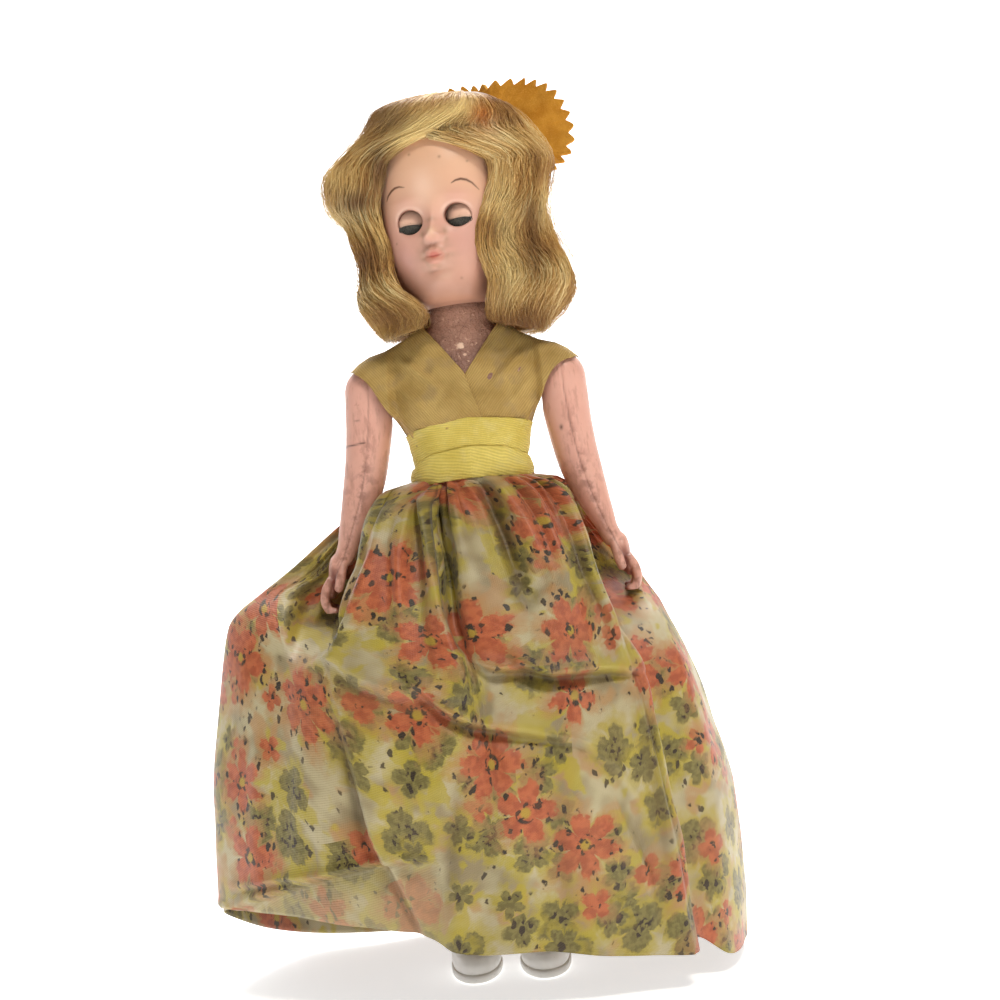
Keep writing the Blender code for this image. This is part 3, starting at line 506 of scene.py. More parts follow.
def neck_finish():
    """Brown body plastic, crazed and pitted where it shows at the neck."""
    f = Finish("crazed_body_plastic", 0.5, Specular_IOR_Level=0.4)
    p = f.place()
    warp = f.vec("ADD", p, f.vec("SCALE", f.noise(p, 1.2, 3.0, 0.6, 0.0, True), scale=1.2))
    crack = f.cells(warp, 1.25, "DISTANCE_TO_EDGE")
    fine = f.cells(warp, 0.55, "DISTANCE_TO_EDGE")
    base = f.mix(f.noise(p, 2.4, 4.0, 0.65), rgb(158, 112, 92), rgb(192, 146, 122))
    lower = f.step(f.part(p, 2), 143.5, 136.5)
    base = f.mix(f.calc("MULTIPLY", lower, 0.62), base, rgb(116, 84, 74))
    base = f.mix(f.calc("MULTIPLY", f.step(crack, 0.10, 0.0), 0.28), base, rgb(92, 58, 46))
    base = f.mix(f.calc("MULTIPLY", f.step(fine, 0.09, 0.0), 0.2), base, rgb(118, 76, 60))
    pit = f.step(f.noise(f.vec("ADD", p, (3, 17, 9)), 0.55, 3.0, 0.6), 0.62, 0.70)
    base = f.mix(f.calc("MULTIPLY", pit, 0.75), base, rgb(84, 52, 42))
    pale = f.step(f.noise(f.vec("ADD", p, (31, 7, 3)), 0.9, 3.0, 0.6), 0.60, 0.68)
    base = f.mix(f.calc("MULTIPLY", pale, 0.55), base, rgb(222, 180, 152))
    # a flake of paint has come off low on the neck
    chip_at = f.vec("SUBTRACT", p, (BODY_X - 0.35, -8.2, 139.2))
    chip = f.vec("LENGTH", f.vec("MULTIPLY", f.vec("ADD", chip_at, f.vec("SCALE", f.vec("SUBTRACT", f.noise(p, 0.8, 2.0, 0.5, 0, True), (0.5, 0.5, 0.5)), scale=1.1)), (1.0, 0.12, 1.15)), out=1)
    base = f.mix(f.step(chip, 1.0, 0.62), base, rgb(226, 192, 166))
    chip2_at = f.vec("SUBTRACT", p, (BODY_X + 0.55, -8.2, 137.2))
    chip2 = f.vec("LENGTH", f.vec("MULTIPLY", chip2_at, (1.0, 0.12, 1.3)), out=1)
    base = f.mix(f.step(chip2, 0.5, 0.25), base, rgb(214, 176, 150))
    f.colour(base)
    f.rough(f.calc("MULTIPLY_ADD", f.step(crack, 0.12, 0.0), 0.25, 0.42))
    f.bumps((f.step(crack, 0.0, 0.14), 0.05), (f.noise(p, 0.5, 3.0), 0.22))
    return f.m


def body_finish():
    f = Finish("moulded_body_plastic", 0.45)
    p = f.place()
    base = f.mix(f.noise(p, 5.0, 3.0), rgb(214, 160, 142), rgb(196, 140, 122))
    base = f.mix(f.calc("MULTIPLY", f.step(f.noise(p, 1.6, 4.0, 0.7), 0.6, 0.7), 0.4), base, rgb(150, 100, 82))
    f.colour(base).bumps((f.noise(p, 0.8, 3.0), 0.03))
    return f.m


def hair_finish():
    f = Finish("waved_wig_fibre", 0.42, Specular_IOR_Level=0.45, Sheen_Weight=0.06)
    p = f.place()
    base = f.mix(f.calc("MULTIPLY", f.noise(p, 0.5, 2.0), 0.35), f.tint(), rgb(120, 84, 40))
    f.colour(base)
    f.rough(f.calc("MULTIPLY_ADD", f.noise(p, 1.0, 2.0), 0.15, 0.36))
    return f.m


def net_finish():
    f = Finish("wig_net", 0.8)
    p = f.place()
    hole = f.cells(p, 0.9, "DISTANCE_TO_EDGE", 0.3)
    f.colour(f.mix(f.step(hole, 0.18, 0.08), rgb(150, 118, 70), rgb(196, 164, 108)))
    f.bumps((f.step(hole, 0.2, 0.05), 0.1))
    return f.m


def felt_finish():
    f = Finish("mustard_felt", 0.9, Sheen_Weight=0.12, Specular_IOR_Level=0.2)
    f.b.inputs["Sheen Tint"].default_value = (*rgb(250, 205, 120), 1)
    p = f.place()
    big = f.noise(p, 5.0, 4.0, 0.6)
    base = f.mix(f.step(big, 0.35, 0.68), rgb(190, 128, 38), rgb(212, 152, 56))
    fibres = f.noise(f.vec("MULTIPLY", p, (1, 1, 2.2)), 0.35, 5.0, 0.75)
    base = f.mix(f.calc("MULTIPLY", f.step(fibres, 0.5, 0.75), 0.45), base, rgb(240, 190, 96))
    base = f.mix(f.calc("MULTIPLY", f.step(fibres, 0.46, 0.28), 0.45), base, rgb(168, 106, 26))
    dirt = f.step(f.noise(f.vec("ADD", p, (9, 3, 40)), 1.6, 4.0, 0.7), 0.66, 0.75)
    base = f.mix(f.calc("MULTIPLY", dirt, 0.5), base, rgb(142, 86, 24))
    f.colour(base)
    f.bumps((fibres, 0.16), (big, 0.5))
    return f.m


def cloth_finish(name, light, dark, warm, pitch, depth, rough=0.72, sheen=0.15, glow=0.0):
    """Plain ribbed cloth: threads along both flat directions, uneven dye and dust."""
    f = Finish(name, rough, Sheen_Weight=sheen, Specular_IOR_Level=0.25)
    f.b.inputs["Sheen Tint"].default_value = (*light, 1)
    uv = f.flat()
    p = f.place()
    wob = f.calc("MULTIPLY", f.noise(uv, 6.0, 2.0), 1.2)
    u, v = f.part(uv, 0), f.part(uv, 1)
    rib = f.calc("SINE", f.calc("MULTIPLY", f.calc("ADD", v, wob), 2 * math.pi / pitch))
    warp = f.calc("SINE", f.calc("MULTIPLY", u, 2 * math.pi / (pitch * 0.62)))
    rib01 = f.calc("MULTIPLY_ADD", rib, 0.5, 0.5)
    warp01 = f.calc("MULTIPLY_ADD", warp, 0.5, 0.5)
    base = f.mix(f.step(f.noise(p, 7.0, 3.0, 0.55), 0.3, 0.7), dark, light)
    base = f.mix(f.calc("MULTIPLY", f.step(f.noise(f.vec("ADD", p, (5, 50, 9)), 4.0, 3.0), 0.5, 0.72), 0.6), base, warm)
    slub = f.noise(f.made(f.calc("MULTIPLY", u, 0.12), v, 0.0), 0.7, 2.0)
    base = f.mix(f.calc("MULTIPLY", f.step(slub, 0.45, 0.7), 0.22), base, light)
    shade = f.calc("MULTIPLY_ADD", rib01, 0.30, f.calc("MULTIPLY", warp01, 0.12))
    base = f.mix(f.calc("SUBTRACT", 0.42, shade, clamp=True), base, tuple(c * 0.42 for c in dark))
    f.colour(base)
    f.bumps((f.noise(uv, 2.4, 3.0), 0.10), (f.calc("MULTIPLY_ADD", rib01, 1.0, f.calc("MULTIPLY", warp01, 0.4)), depth))
    return f.m


def flowers(f, uv, size, seed, reach, petals, raggedness, chance=1.0):
    """One scattered motif layer: returns (distance in its own radius, angle, cell colour)."""
    moved = f.vec("ADD", uv, seed)
    n = f.t.nodes.new("ShaderNodeTexVoronoi")
    n.voronoi_dimensions = "2D"
    n.inputs["Scale"].default_value = 1.0 / size
    n.inputs["Randomness"].default_value = 0.72
    f.put(n.inputs["Vector"], moved)
    rnd = f.part(n.outputs["Color"], 0)
    rnd2 = f.part(n.outputs["Color"], 1)
    rnd3 = f.part(n.outputs["Color"], 2)
    away = f.vec("SCALE", f.vec("SUBTRACT", f.vec("SCALE", moved, scale=1.0 / size), f.vec("SCALE", n.outputs["Position"], scale=1.0 / size)), scale=size)
    away = f.vec("SUBTRACT", moved, n.outputs["Position"])
    x, y = f.part(away, 0), f.part(away, 1)
    length = f.calc("SQRT", f.calc("ADD", f.calc("MULTIPLY", x, x), f.calc("MULTIPLY", y, y)))
    angle = f.calc("ADD", f.calc("ARCTAN2", y, x), f.calc("MULTIPLY", rnd, 6.28))
    count = f.calc("ADD", float(petals), f.calc("FLOOR", f.calc("MULTIPLY", rnd2, 2.0)))
    lobe = f.calc("POWER", f.calc("ABSOLUTE", f.calc("SINE", f.calc("MULTIPLY", angle, f.calc("MULTIPLY", count, 0.5)))), 0.62)
    ragged = f.calc("SUBTRACT", f.noise(uv, 1.9, 3.0, 0.65), 0.5)
    fringe = f.calc("SUBTRACT", f.noise(f.made(f.calc("MULTIPLY", angle, 3.2), f.calc("MULTIPLY", rnd3, 40.0)), 0.8, 2.0, 0.6), 0.5)
    radius = f.calc("MULTIPLY_ADD", lobe, raggedness, f.calc("MULTIPLY_ADD", rnd3, 0.42, 0.92 - raggedness))
    radius = f.calc("MULTIPLY_ADD", ragged, 0.9, radius)
    radius = f.calc("MULTIPLY_ADD", fringe, 0.45, radius)
    on = f.step(rnd, 1.0 - chance, 1.0 - chance + 0.001) if chance < 1 else None
    scaled = f.calc("DIVIDE", f.calc("DIVIDE", length, reach), f.calc("MAXIMUM", radius, 0.12))
    return scaled, angle, rnd, rnd2, on, length


def print_finish():
    """Satin with scattered blooms and leaves in coral, olive and yellow on greige."""
    f = Finish("flowered_satin", 0.46, Sheen_Weight=0.10, Specular_IOR_Level=0.42)
    uv = f.flat()
    soft = f.vec("ADD", uv, f.vec("SCALE", f.vec("SUBTRACT", f.noise(uv, 3.0, 3.0, 0.6, 0.0, True), (0.5, 0.5, 0.5)), scale=2.2))
    greige, cream = rgb(146, 131, 96), rgb(188, 176, 138)
    yellow, peach = rgb(176, 158, 48), rgb(178, 132, 80)
    coral, coral_dark = rgb(190, 98, 60), rgb(164, 76, 46)
    olive, olive_light = rgb(98, 90, 46), rgb(124, 114, 62)
    ink = rgb(44, 34, 24)
    base = f.mix(f.step(f.noise(uv, 11.0, 2.0), 0.36, 0.58), greige, cream)
    # soft peach and yellow washes
    wash = f.noise(f.vec("ADD", soft, (40, 11, 0)), 9.0, 2.0, 0.5)
    base = f.mix(f.calc("MULTIPLY", f.step(wash, 0.53, 0.62), 0.7), base, peach)
    wash2 = f.noise(f.vec("ADD", soft, (7, 90, 0)), 8.0, 2.0, 0.5)
    base = f.mix(f.calc("MULTIPLY", f.step(wash2, 0.555, 0.61), 0.8), base, yellow)

    def between(x, low, high, edge):
        return f.calc("MULTIPLY", f.step(x, low - edge, low + edge), f.step(x, high + edge, high - edge))

    def keep(mask, on):
        return mask if on is None else f.calc("MULTIPLY", mask, on)

    dabs = f.noise(f.vec("ADD", uv, (3, 77, 0)), 1.25, 1.5, 0.5)
    dab_on = f.step(dabs, 0.53, 0.57)
    bent = f.vec("ADD", uv, f.vec("SCALE", f.vec("SUBTRACT", f.noise(uv, 1.6, 2.0, 0.5, 0.0, True), (0.5, 0.5, 0.5)), scale=1.6))
    leaf_cells = f.cells(f.vec("MULTIPLY", f.vec("ADD", bent, (5, 5, 0)), (1.0, 0.62, 1.0)), 1.75, "F1", 1.0)
    dots = f.step(leaf_cells, 0.40, 0.30)
    weave_gap = f.step(f.noise(uv, 0.6, 2.0, 0.6), 0.60, 0.72)
    # olive leaves with yellow halos
    green = f.mix(f.step(f.noise(uv, 1.2, 2.0), 0.4, 0.6), olive, olive_light)
    d, a, r1, r2, on, ln = flowers(f, uv, 14.5, (50.0, 20.0, 0), 4.6, 3, 0.55, 0.85)
    base = f.mix(f.calc("MULTIPLY", keep(f.step(d, 1.8, 0.95), on), 0.8), base, yellow)
    base = f.mix(keep(f.calc("MULTIPLY", f.step(d, 1.08, 0.90), 0.93), on), base, green)
    base = f.mix(keep(f.calc("MULTIPLY", f.step(d, 0.62, 0.45), dab_on), on), base, ink)
    d, a, r1, r2, on, ln = flowers(f, uv, 10.5, (83.0, 31.0, 0), 3.1, 4, 0.66, 0.55)
    base = f.mix(f.calc("MULTIPLY", keep(f.step(d, 1.9, 1.0), on), 0.6), base, yellow)
    base = f.mix(keep(f.calc("MULTIPLY", f.step(d, 1.08, 0.88), 0.93), on), base, green)
    base = f.mix(keep(f.calc("MULTIPLY", f.step(d, 0.8, 0.6), dots), on), base, ink)
    # coral buds
    bloom = f.mix(f.step(f.noise(uv, 2.0, 3.0), 0.38, 0.62), coral_dark, coral)
    d, a, r1, r2, on, ln = flowers(f, uv, 12.5, (21.0, 63.0, 0), 3.0, 3, 0.66, 0.42)
    base = f.mix(f.calc("MULTIPLY", keep(f.step(d, 2.0, 1.0), on), 0.5), base, peach)
    base = f.mix(keep(f.calc("MULTIPLY", f.step(d, 1.08, 0.88), 0.92), on), base, bloom)
    base = f.mix(keep(f.calc("MULTIPLY", f.step(ln, 1.3, 0.8), dab_on), on), base, ink)
    # coral blooms
    d, a, r1, r2, on, ln = flowers(f, uv, 20.5, (4.0, 2.0, 0), 6.6, 5, 0.70, 0.74)
    base = f.mix(f.calc("MULTIPLY", keep(f.step(d, 1.8, 0.95), on), 0.7), base, peach)
    base = f.mix(keep(f.calc("MULTIPLY", f.step(d, 1.06, 0.90), f.calc("SUBTRACT", 0.96, f.calc("MULTIPLY", weave_gap, 0.22))), on), base, bloom)
    base = f.mix(keep(f.calc("MULTIPLY", f.step(ln, 1.5, 0.7), 0.75), on), base, yellow)
    ring = f.calc("MULTIPLY", between(ln, 0.9, 2.2, 0.25), f.calc("MAXIMUM", dots, f.calc("MULTIPLY", dab_on, 0.9)))
    base = f.mix(keep(ring, on), base, ink)
    edge_dabs = f.calc("MULTIPLY", between(d, 0.80, 1.40, 0.05), f.calc("MULTIPLY", dots, f.step(f.noise(uv, 5.0, 1.0), 0.47, 0.53)))
    base = f.mix(keep(edge_dabs, on), base, ink)
    # strings of dark dabs
    path = f.noise(f.vec("ADD", uv, (60, 60, 0)), 10.0, 1.0, 0.4)
    string = f.calc("MULTIPLY", between(path, 0.466, 0.534, 0.004), f.calc("MULTIPLY", dots, f.step(f.noise(f.vec("ADD", uv, (1, 9, 0)), 6.0, 1.0), 0.5, 0.54)))
    base = f.mix(f.calc("MULTIPLY", string, 0.9), base, ink)
    base = f.mix(f.calc("MULTIPLY", f.value("under"), 0.45), base, cream)
    # painted shade in the folds' hollows, from the deep attribute
    base = f.mix(f.calc("MULTIPLY", f.value("deep"), 0.62, clamp=True), base, rgb(86, 66, 36))
    # weave
    u, v = f.part(uv, 0), f.part(uv, 1)
    twill = f.calc("SINE", f.calc("MULTIPLY", f.calc("MULTIPLY_ADD", u, 0.55, v), 2 * math.pi / 0.5))
    warp = f.calc("SINE", f.calc("MULTIPLY", u, 2 * math.pi / 0.42))
    twill01 = f.calc("MULTIPLY_ADD", twill, 0.5, 0.5)
    base = f.mix(f.calc("MULTIPLY", f.calc("SUBTRACT", 1.0, twill01), 0.16), base, rgb(120, 100, 70))
    dust = f.noise(uv, 22.0, 3.0, 0.6)
    base = f.mix(f.calc("MULTIPLY", f.step(dust, 0.45, 0.75), 0.25), base, rgb(146, 122, 82))
    f.colour(base)
    f.rough(f.calc("MULTIPLY_ADD", f.noise(uv, 4.0, 2.0), 0.16, 0.38))
    f.bumps((f.noise(uv, 3.2, 3.0), 0.22), (f.calc("MULTIPLY_ADD", warp, 0.3, twill01), 0.028))
    return f.m


def shoe_finish():
    f = Finish("white_shoe_plastic", 0.38, Coat_Weight=0.1)
    p = f.place()
    base = f.mix(f.noise(p, 3.0, 4.0, 0.6), rgb(253, 252, 248), rgb(240, 237, 230))
    base = f.mix(f.calc("MULTIPLY", f.step(f.noise(p, 0.9, 4.0, 0.7), 0.63, 0.72), 0.6), base, rgb(170, 158, 140))
    f.colour(base).bumps((f.noise(p, 1.5, 4.0), 0.05))
    return f.m


def metal_finish(name, colour, rough, metallic=1.0):
    f = Finish(name, rough, Metallic=metallic)
    p = f.place()
    f.colour(f.mix(f.step(f.noise(p, 0.8, 4.0, 0.6), 0.45, 0.7), colour, tuple(c * 0.55 for c in colour)))
    f.rough(f.calc("MULTIPLY_ADD", f.noise(p, 0.5, 3.0), 0.3, rough))
    return f.m


def cord_finish():
    f = Finish("elastic_cord", 0.8)
    p = f.place()
    twist = f.calc("SINE", f.calc("MULTIPLY", f.calc("ADD", f.part(p, 0), f.calc("MULTIPLY", f.part(p, 2), 1.0)), 9.0))
    f.colour(f.mix(f.calc("MULTIPLY_ADD", twist, 0.3, 0.4), rgb(196, 172, 130), rgb(150, 126, 90)))
    f.bumps((twist, 0.05))
    return f.m


FACE = face_finish()
ARM = arm_finish()
NECK = neck_finish()
LEG = body_finish()
HAIR = hair_finish()
NET = net_finish()
FELT = felt_finish()
OLIVE = cloth_finish("golden_olive_cloth", rgb(196, 164, 98), rgb(170, 138, 76), rgb(160, 134, 92), 0.50, 0.05)
YELLOW = cloth_finish("yellow_ribbed_cloth", rgb(236, 216, 118), rgb(214, 190, 88), rgb(224, 208, 132), 0.52, 0.06, 0.6, 0.2)
PRINT = print_finish()
SHOE = shoe_finish()
PLATED = metal_finish("plated_wire", (0.62, 0.62, 0.6), 0.25)
LEAD = metal_finish("weight_lead", (0.30, 0.30, 0.31), 0.5, 0.8)
CORD = cord_finish()


# ---- head ----------------------------------------------------------------------
HEAD_ROWS = np.array([
    (148.4, 7.9, 7.9, 7.9), (148.8, 9.4, 11.6, 8.9), (149.8, 10.1, 13.6, 9.6), (151.6, 11.0, 14.7, 10.4),
    (154.0, 12.1, 15.0, 11.4), (158.0, 13.6, 15.2, 13.2), (163.0, 14.9, 15.4, 15.6), (168.0, 15.4, 15.5, 17.0),
    (173.0, 15.5, 15.7, 17.5), (178.0, 15.3, 15.6, 17.2), (183.0, 14.2, 14.4, 15.8), (187.5, 11.9, 12.0, 13.0),
    (191.0, 8.4, 8.4, 9.2), (193.0, 4.2, 4.2, 4.6), (193.5, 0.6, 0.6, 0.6),
])
# x, z, push forwards, spread in x, spread in z
FACE_FORMS = [
    (-0.25, 163.9, 2.5, 1.75, 1.7), (-0.2, 165.8, 0.9, 1.2, 2.1), (-0.1, 168.5, 0.5, 1.5, 3.0),
    (-1.8, 163.0, 0.95, 0.8, 0.75), (1.3, 163.0, 0.95, 0.8, 0.75),
    (-0.55, 158.6, 1.3, 3.0, 2.4), (-0.55, 157.2, 0.5, 1.6, 0.75), (-0.5, 155.6, -0.35, 2.4, 0.8),
    (-1.3, 160.1, 0.6, 0.85, 0.6), (0.25, 160.1, 0.6, 0.85, 0.6), (-0.5, 161.4, -0.28, 0.5, 0.9),
    (-0.3, 153.2, 0.9, 2.9, 1.9),
    (-8.0, 159.8, 0.7, 3.4, 3.2), (8.0, 159.8, 0.7, 3.4, 3.2),
    (-4.1, 167.0, -1.3, 2.5, 2.8), (3.9, 167.0, -1.35, 2.5, 2.8), (-6.6, 167.0, -0.5, 2.5, 2.6), (6.4, 167.0, -0.5, 2.5, 2.6),
    (-6.3, 171.6, 0.25, 3.6, 1.2), (6.3, 171.6, 0.25, 3.6, 1.2), (0, 176.0, 0.3, 8.0, 5.0),
]
EYE_HOLES = [(-5.5, 166.95, 2.95, 2.72), (5.3, 167.05, 2.9, 2.62)]


def head_rows(z):
    return [eased(HEAD_ROWS[:, 0], HEAD_ROWS[:, k], z) for k in (1, 2, 3)]


def face_push(x, z):
    push = np.zeros(np.shape(x))
    for cx, cz, h, sx, sz in FACE_FORMS:
        push = push + h * np.exp(-(((x - cx) / sx) ** 2) - ((z - cz) / sz) ** 2)
    # the mouth's slit between the lips, drawn in at its corners
    slit = 158.65 + 0.16 * ((x + 0.55) / 1.6) ** 2
    push = push - 0.42 * np.exp(-(((x + 0.55) / 1.9) ** 4) - ((z - slit) / 0.3) ** 2)
    for cx in (-2.95, 1.85):
        push = push - 0.3 * np.exp(-(((x - cx) / 0.7) ** 2) - ((z - 158.7) / 0.7) ** 2)
    return push


def head_grid(t, z, grow=0.0):
    tt, zz = np.meshgrid(t, z)
    a, f, b = head_rows(zz)
    x, y = oval(tt, a + grow, a + grow, f + grow, b + grow, 2.1)
    front = np.clip(-y / (f + grow), 0, 1)
    y = y - face_push(x, zz) * front * (front > 0)
    return np.stack([x, y, zz], -1)


def stroke(x, z, line, width, soft=0.12):
    """A painted line with tapered ends."""
    d, s, _ = near_line(x, z, line)
    w = width * np.clip(np.sin(np.pi * np.clip(s * 0.92 + 0.06, 0, 1)), 0.12, 1) ** 0.7
    return 1 - smooth(w / 2 - soft, w / 2 + soft, d)


def blob(x, z, cx, cz, sx, sz):
    return np.exp(-(((x - cx) / sx) ** 2) - ((z - cz) / sz) ** 2)


def painted(p):
    """The face's colours at head-local points: blush, lips, brows, old grime, and painted light and shade."""
    x, z = p[..., 0], p[..., 2]
    c = np.zeros(p.shape) + rgb(224, 174, 145)

    def over(col, w):
        nonlocal c
        w = np.clip(w, 0, 1)[..., None]
        c = c * (1 - w) + np.array(rgb(*col)) * w

    # the upper face painted lighter, as painted light falling from above
    over((230, 184, 150), smooth(168, 182, z) * 0.8)
    over((226, 172, 160), 0.55 * smooth(172, 165, z))
    over((222, 164, 156), 0.5 * blob(x, z, 6.6, 160.6, 3.6, 3.6) + 0.6 * blob(x, z, -7.2, 158.8, 3.0, 3.6))
    over((214, 150, 140), 0.35 * blob(x, z, 5.6, 171.2, 3.2, 1.6) + 0.3 * blob(x, z, -5.8, 171.4, 3.0, 1.4))
    # painted shadow under the chin; painted shade on the doll's left cheek, towards the face's sides and over the lower
    # face; painted highlights on the forehead and the chin
    over((160, 114, 90), 0.85 * smooth(155.6, 150.2, z) * (1 - 0.15 * smooth(2, -9, x)))
    over((170, 120, 98), 0.75 * smooth(5.0, 11.0, x) * smooth(166, 156, z))
    over((248, 214, 190), 0.5 * blob(x, z, -1.2, 174.0, 2.6, 3.6) + 0.35 * blob(x, z, 1.2, 154.0, 1.6, 1.0))
    over((150, 108, 82), 0.35 * smooth(11.5, 14.5, np.abs(x)))
    over((200, 146, 122), 0.45 * smooth(168, 155, z))
    # grime and painted shade: a mottled dark ring round the mouth, and dark marks beside the nose and across its bridge
    grime = 0.55 + 0.45 * lumps(p, 1.1, 3)
    ring = blob(x, z, -0.5, 158.4, 4.0, 3.0) * (1 - 0.75 * blob(x, z, -0.5, 158.5, 2.1, 1.4))
    over((158, 132, 106), 0.95 * ring * grime)
    for cx in (-2.9, 2.3):
        over((160, 128, 98), 0.7 * blob(x, z, cx, 163.2, 0.8, 1.5) * grime)
    over((150, 118, 86), 0.6 * blob(x, z, -0.4, 166.6, 1.3, 0.6) * grime)
    # a painted highlight on the nose's tip
    over((226, 186, 150), 0.7 * blob(x, z, -0.3, 164.0, 1.2, 1.1))
    # lips
    lip = 1 - smooth(0.75, 1.15, np.hypot((x + 0.55) / 2.3, (z - 158.55) / 1.75))
    over((204, 138, 116), 0.8 * lip)
    over((204, 112, 94), 0.85 * (1 - smooth(0.4, 1.0, np.hypot((x + 0.55) / 1.5, (z - 158.85) / 1.0))))
    # a painted highlight on the lower lip
    over((236, 176, 158), 0.5 * blob(x, z, -0.5, 157.3, 1.2, 0.45))
    over((180, 84, 74), 0.6 * np.exp(-(((x + 0.55) / 1.5) ** 4) - ((z - 158.65 - 0.1 * (x + 0.55) ** 2) / 0.16) ** 2))
    # brows
    brow_r = [(-10.5, 172.7), (-9.9, 173.7), (-8.9, 174.5), (-7.9, 174.95), (-6.8, 175.0), (-5.5, 174.6)]
    brow_l = [(5.1, 173.9), (6.0, 174.4), (7.1, 174.6), (8.2, 174.3), (9.2, 173.6), (10.4, 172.0)]
    for brow in (brow_r, brow_l):
        over((98, 60, 42), 0.95 * stroke(x, z, brow, 0.5))
    # painted shadow round the eye holes' rims, heavier towards the top and on the doll's right, and a painted highlight
    # on the skin just above each hole
    for cx, cz, rx, rz in EYE_HOLES:
        r = np.hypot((x - cx) / rx, (z - cz) / rz)
        over((110, 66, 50), 0.85 * (1 - smooth(0.0, 0.13, r - 1.0)) * (0.35 + 0.65 * smooth(0.5, -0.6, (x - cx) / rx)) * smooth(163.5, 168.5, z))
        over((244, 214, 196), 0.35 * blob(r, z, 1.2, cz + 2.2, 0.12, 1.3))
    # small dark specks from handling
    for sx, sz, r in ((3.2, 180.0, 0.35), (-3.6, 181.6, 0.3), (8.8, 178.4, 0.25), (-9.4, 163.0, 0.25), (4.4, 153.2, 0.3)):
        over((150, 104, 80), 0.6 * np.exp(-((x - sx) ** 2 + (z - sz) ** 2) / r**2))
    return c


def make_head():
    cols, rows = 301, 300
    t = np.linspace(-np.pi / 2, np.pi / 2, cols)
    z = np.concatenate([np.linspace(148.4, 150.0, 20, endpoint=False), np.linspace(150.0, 192.5, rows - 26), np.linspace(192.7, 193.5, 6)])
    g = head_grid(t, z)
    for cx, cz, rx, rz in EYE_HOLES:
        # the skin turns in slightly at the rim
        r = np.hypot((g[..., 0] - cx) / rx, (g[..., 2] - cz) / rz)
        near = np.exp(-(((r - 1) / 0.13) ** 2)) * (g[..., 1] < 0)
        g[..., 1] += 0.16 * near
    v = g.reshape(-1, 3)
    f = grid_faces(len(z), cols)
    mid = v[f].mean(1)
    keep = np.ones(len(f), bool)
    inside = np.zeros(len(v), bool)
    for cx, cz, rx, rz in EYE_HOLES:
        r = np.hypot((mid[:, 0] - cx) / rx, (mid[:, 2] - cz) / rz)
        keep &= ~((r < 1) & (mid[:, 1] < 0))
    f = f[keep]
    # pull the ragged edge onto the round rim
    edge_count = {}
    for q in f:
        pass
    e = np.sort(np.concatenate([f[:, [0, 1]], f[:, [1, 2]], f[:, [2, 3]], f[:, [3, 0]]]), axis=1)
    key = e[:, 0] * 10_000_000 + e[:, 1]
    uniq, count = np.unique(key, return_counts=True)
    border = uniq[count == 1]
    be = np.stack([border // 10_000_000, border % 10_000_000], 1)
    rims = []
    for cx, cz, rx, rz in EYE_HOLES:
        r = np.hypot((v[:, 0] - cx) / rx, (v[:, 2] - cz) / rz)
        near = (r < 1.25) & (v[:, 1] < 0)
        loop = be[near[be[:, 0]] & near[be[:, 1]]]
        ids = np.unique(loop)
        rr = r[ids]
        v[ids, 0] = cx + (v[ids, 0] - cx) / rr
        v[ids, 2] = cz + (v[ids, 2] - cz) / rr
        rims.append(loop)
    verts = [v]
    faces = [f]
    count = len(v)
    tints = [painted(v)]
    for (cx, cz, rx, rz), loop in zip(EYE_HOLES, rims):
        ids = np.unique(loop)
        where = {int(i): k for k, i in enumerate(ids)}
        last = ids
        # the hole's inner wall steps back in rings, coloured darker the deeper they go, as painted shade
        for depth, inset, shade in ((0.25, 0.02, 0.75), (0.7, 0.03, 0.40), (1.5, 0.0, 0.16)):
            ring = v[ids].copy()
            ring[:, 1] += depth
            ring[:, 0] = cx + (ring[:, 0] - cx) * (1 - inset)
            ring[:, 2] = cz + (ring[:, 2] - cz) * (1 - inset)
            verts.append(ring)
            tints.append(np.zeros((len(ids), 3)) + np.array(rgb(150, 90, 70)) * shade)
            new = count + np.arange(len(ids))
            a = np.array([where[int(i)] for i in loop[:, 0]])
            b = np.array([where[int(i)] for i in loop[:, 1]])
            faces.append(np.stack([last[a], last[b], new[b], new[a]], 1))
            last = new
            count += len(ids)
    v_all = np.concatenate(verts)
    o = build("head_face", headed(v_all), np.concatenate(faces), FACE, colour=np.concatenate(tints))
    bm = bmesh.new()
    bm.from_mesh(o.data)
    bmesh.ops.recalc_face_normals(bm, faces=bm.faces)
    bm.to_mesh(o.data)
    bm.free()
    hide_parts("head_face_shell")
    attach(o, "head")

    cols, zb = 121, np.linspace(148.4, 193.5, 130)
    t = np.linspace(np.pi / 2, 3 * np.pi / 2, cols)
    g = head_grid(t, zb)
    g[..., 1] = np.maximum(g[..., 1], 0.0)
    v = g.reshape(-1, 3)
    back = build("head_back", headed(v), grid_faces(len(zb), cols), FACE, colour=painted(v) * 0.96)
    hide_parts("head_back_shell")
    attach(back, "head")
    # underside of the head: the rim that sits round the neck
    t = np.linspace(0, 2 * np.pi, 97)[:-1]
    rings = []
    for r, z in ((7.95, 148.42), (7.6, 148.35), (7.35, 148.7), (7.3, 151.2)):
        rings.append(np.stack([r * np.sin(t), -r * np.cos(t), np.full_like(t, z)], -1))
    v = np.concatenate(rings)
    # the rim is coloured dark brown as painted shade under the head
    rim = build("head_neck_rim", headed(v), grid_faces(4, 96, True), FACE, colour=np.zeros((len(v), 3)) + rgb(140, 88, 70))
    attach(rim, "head")


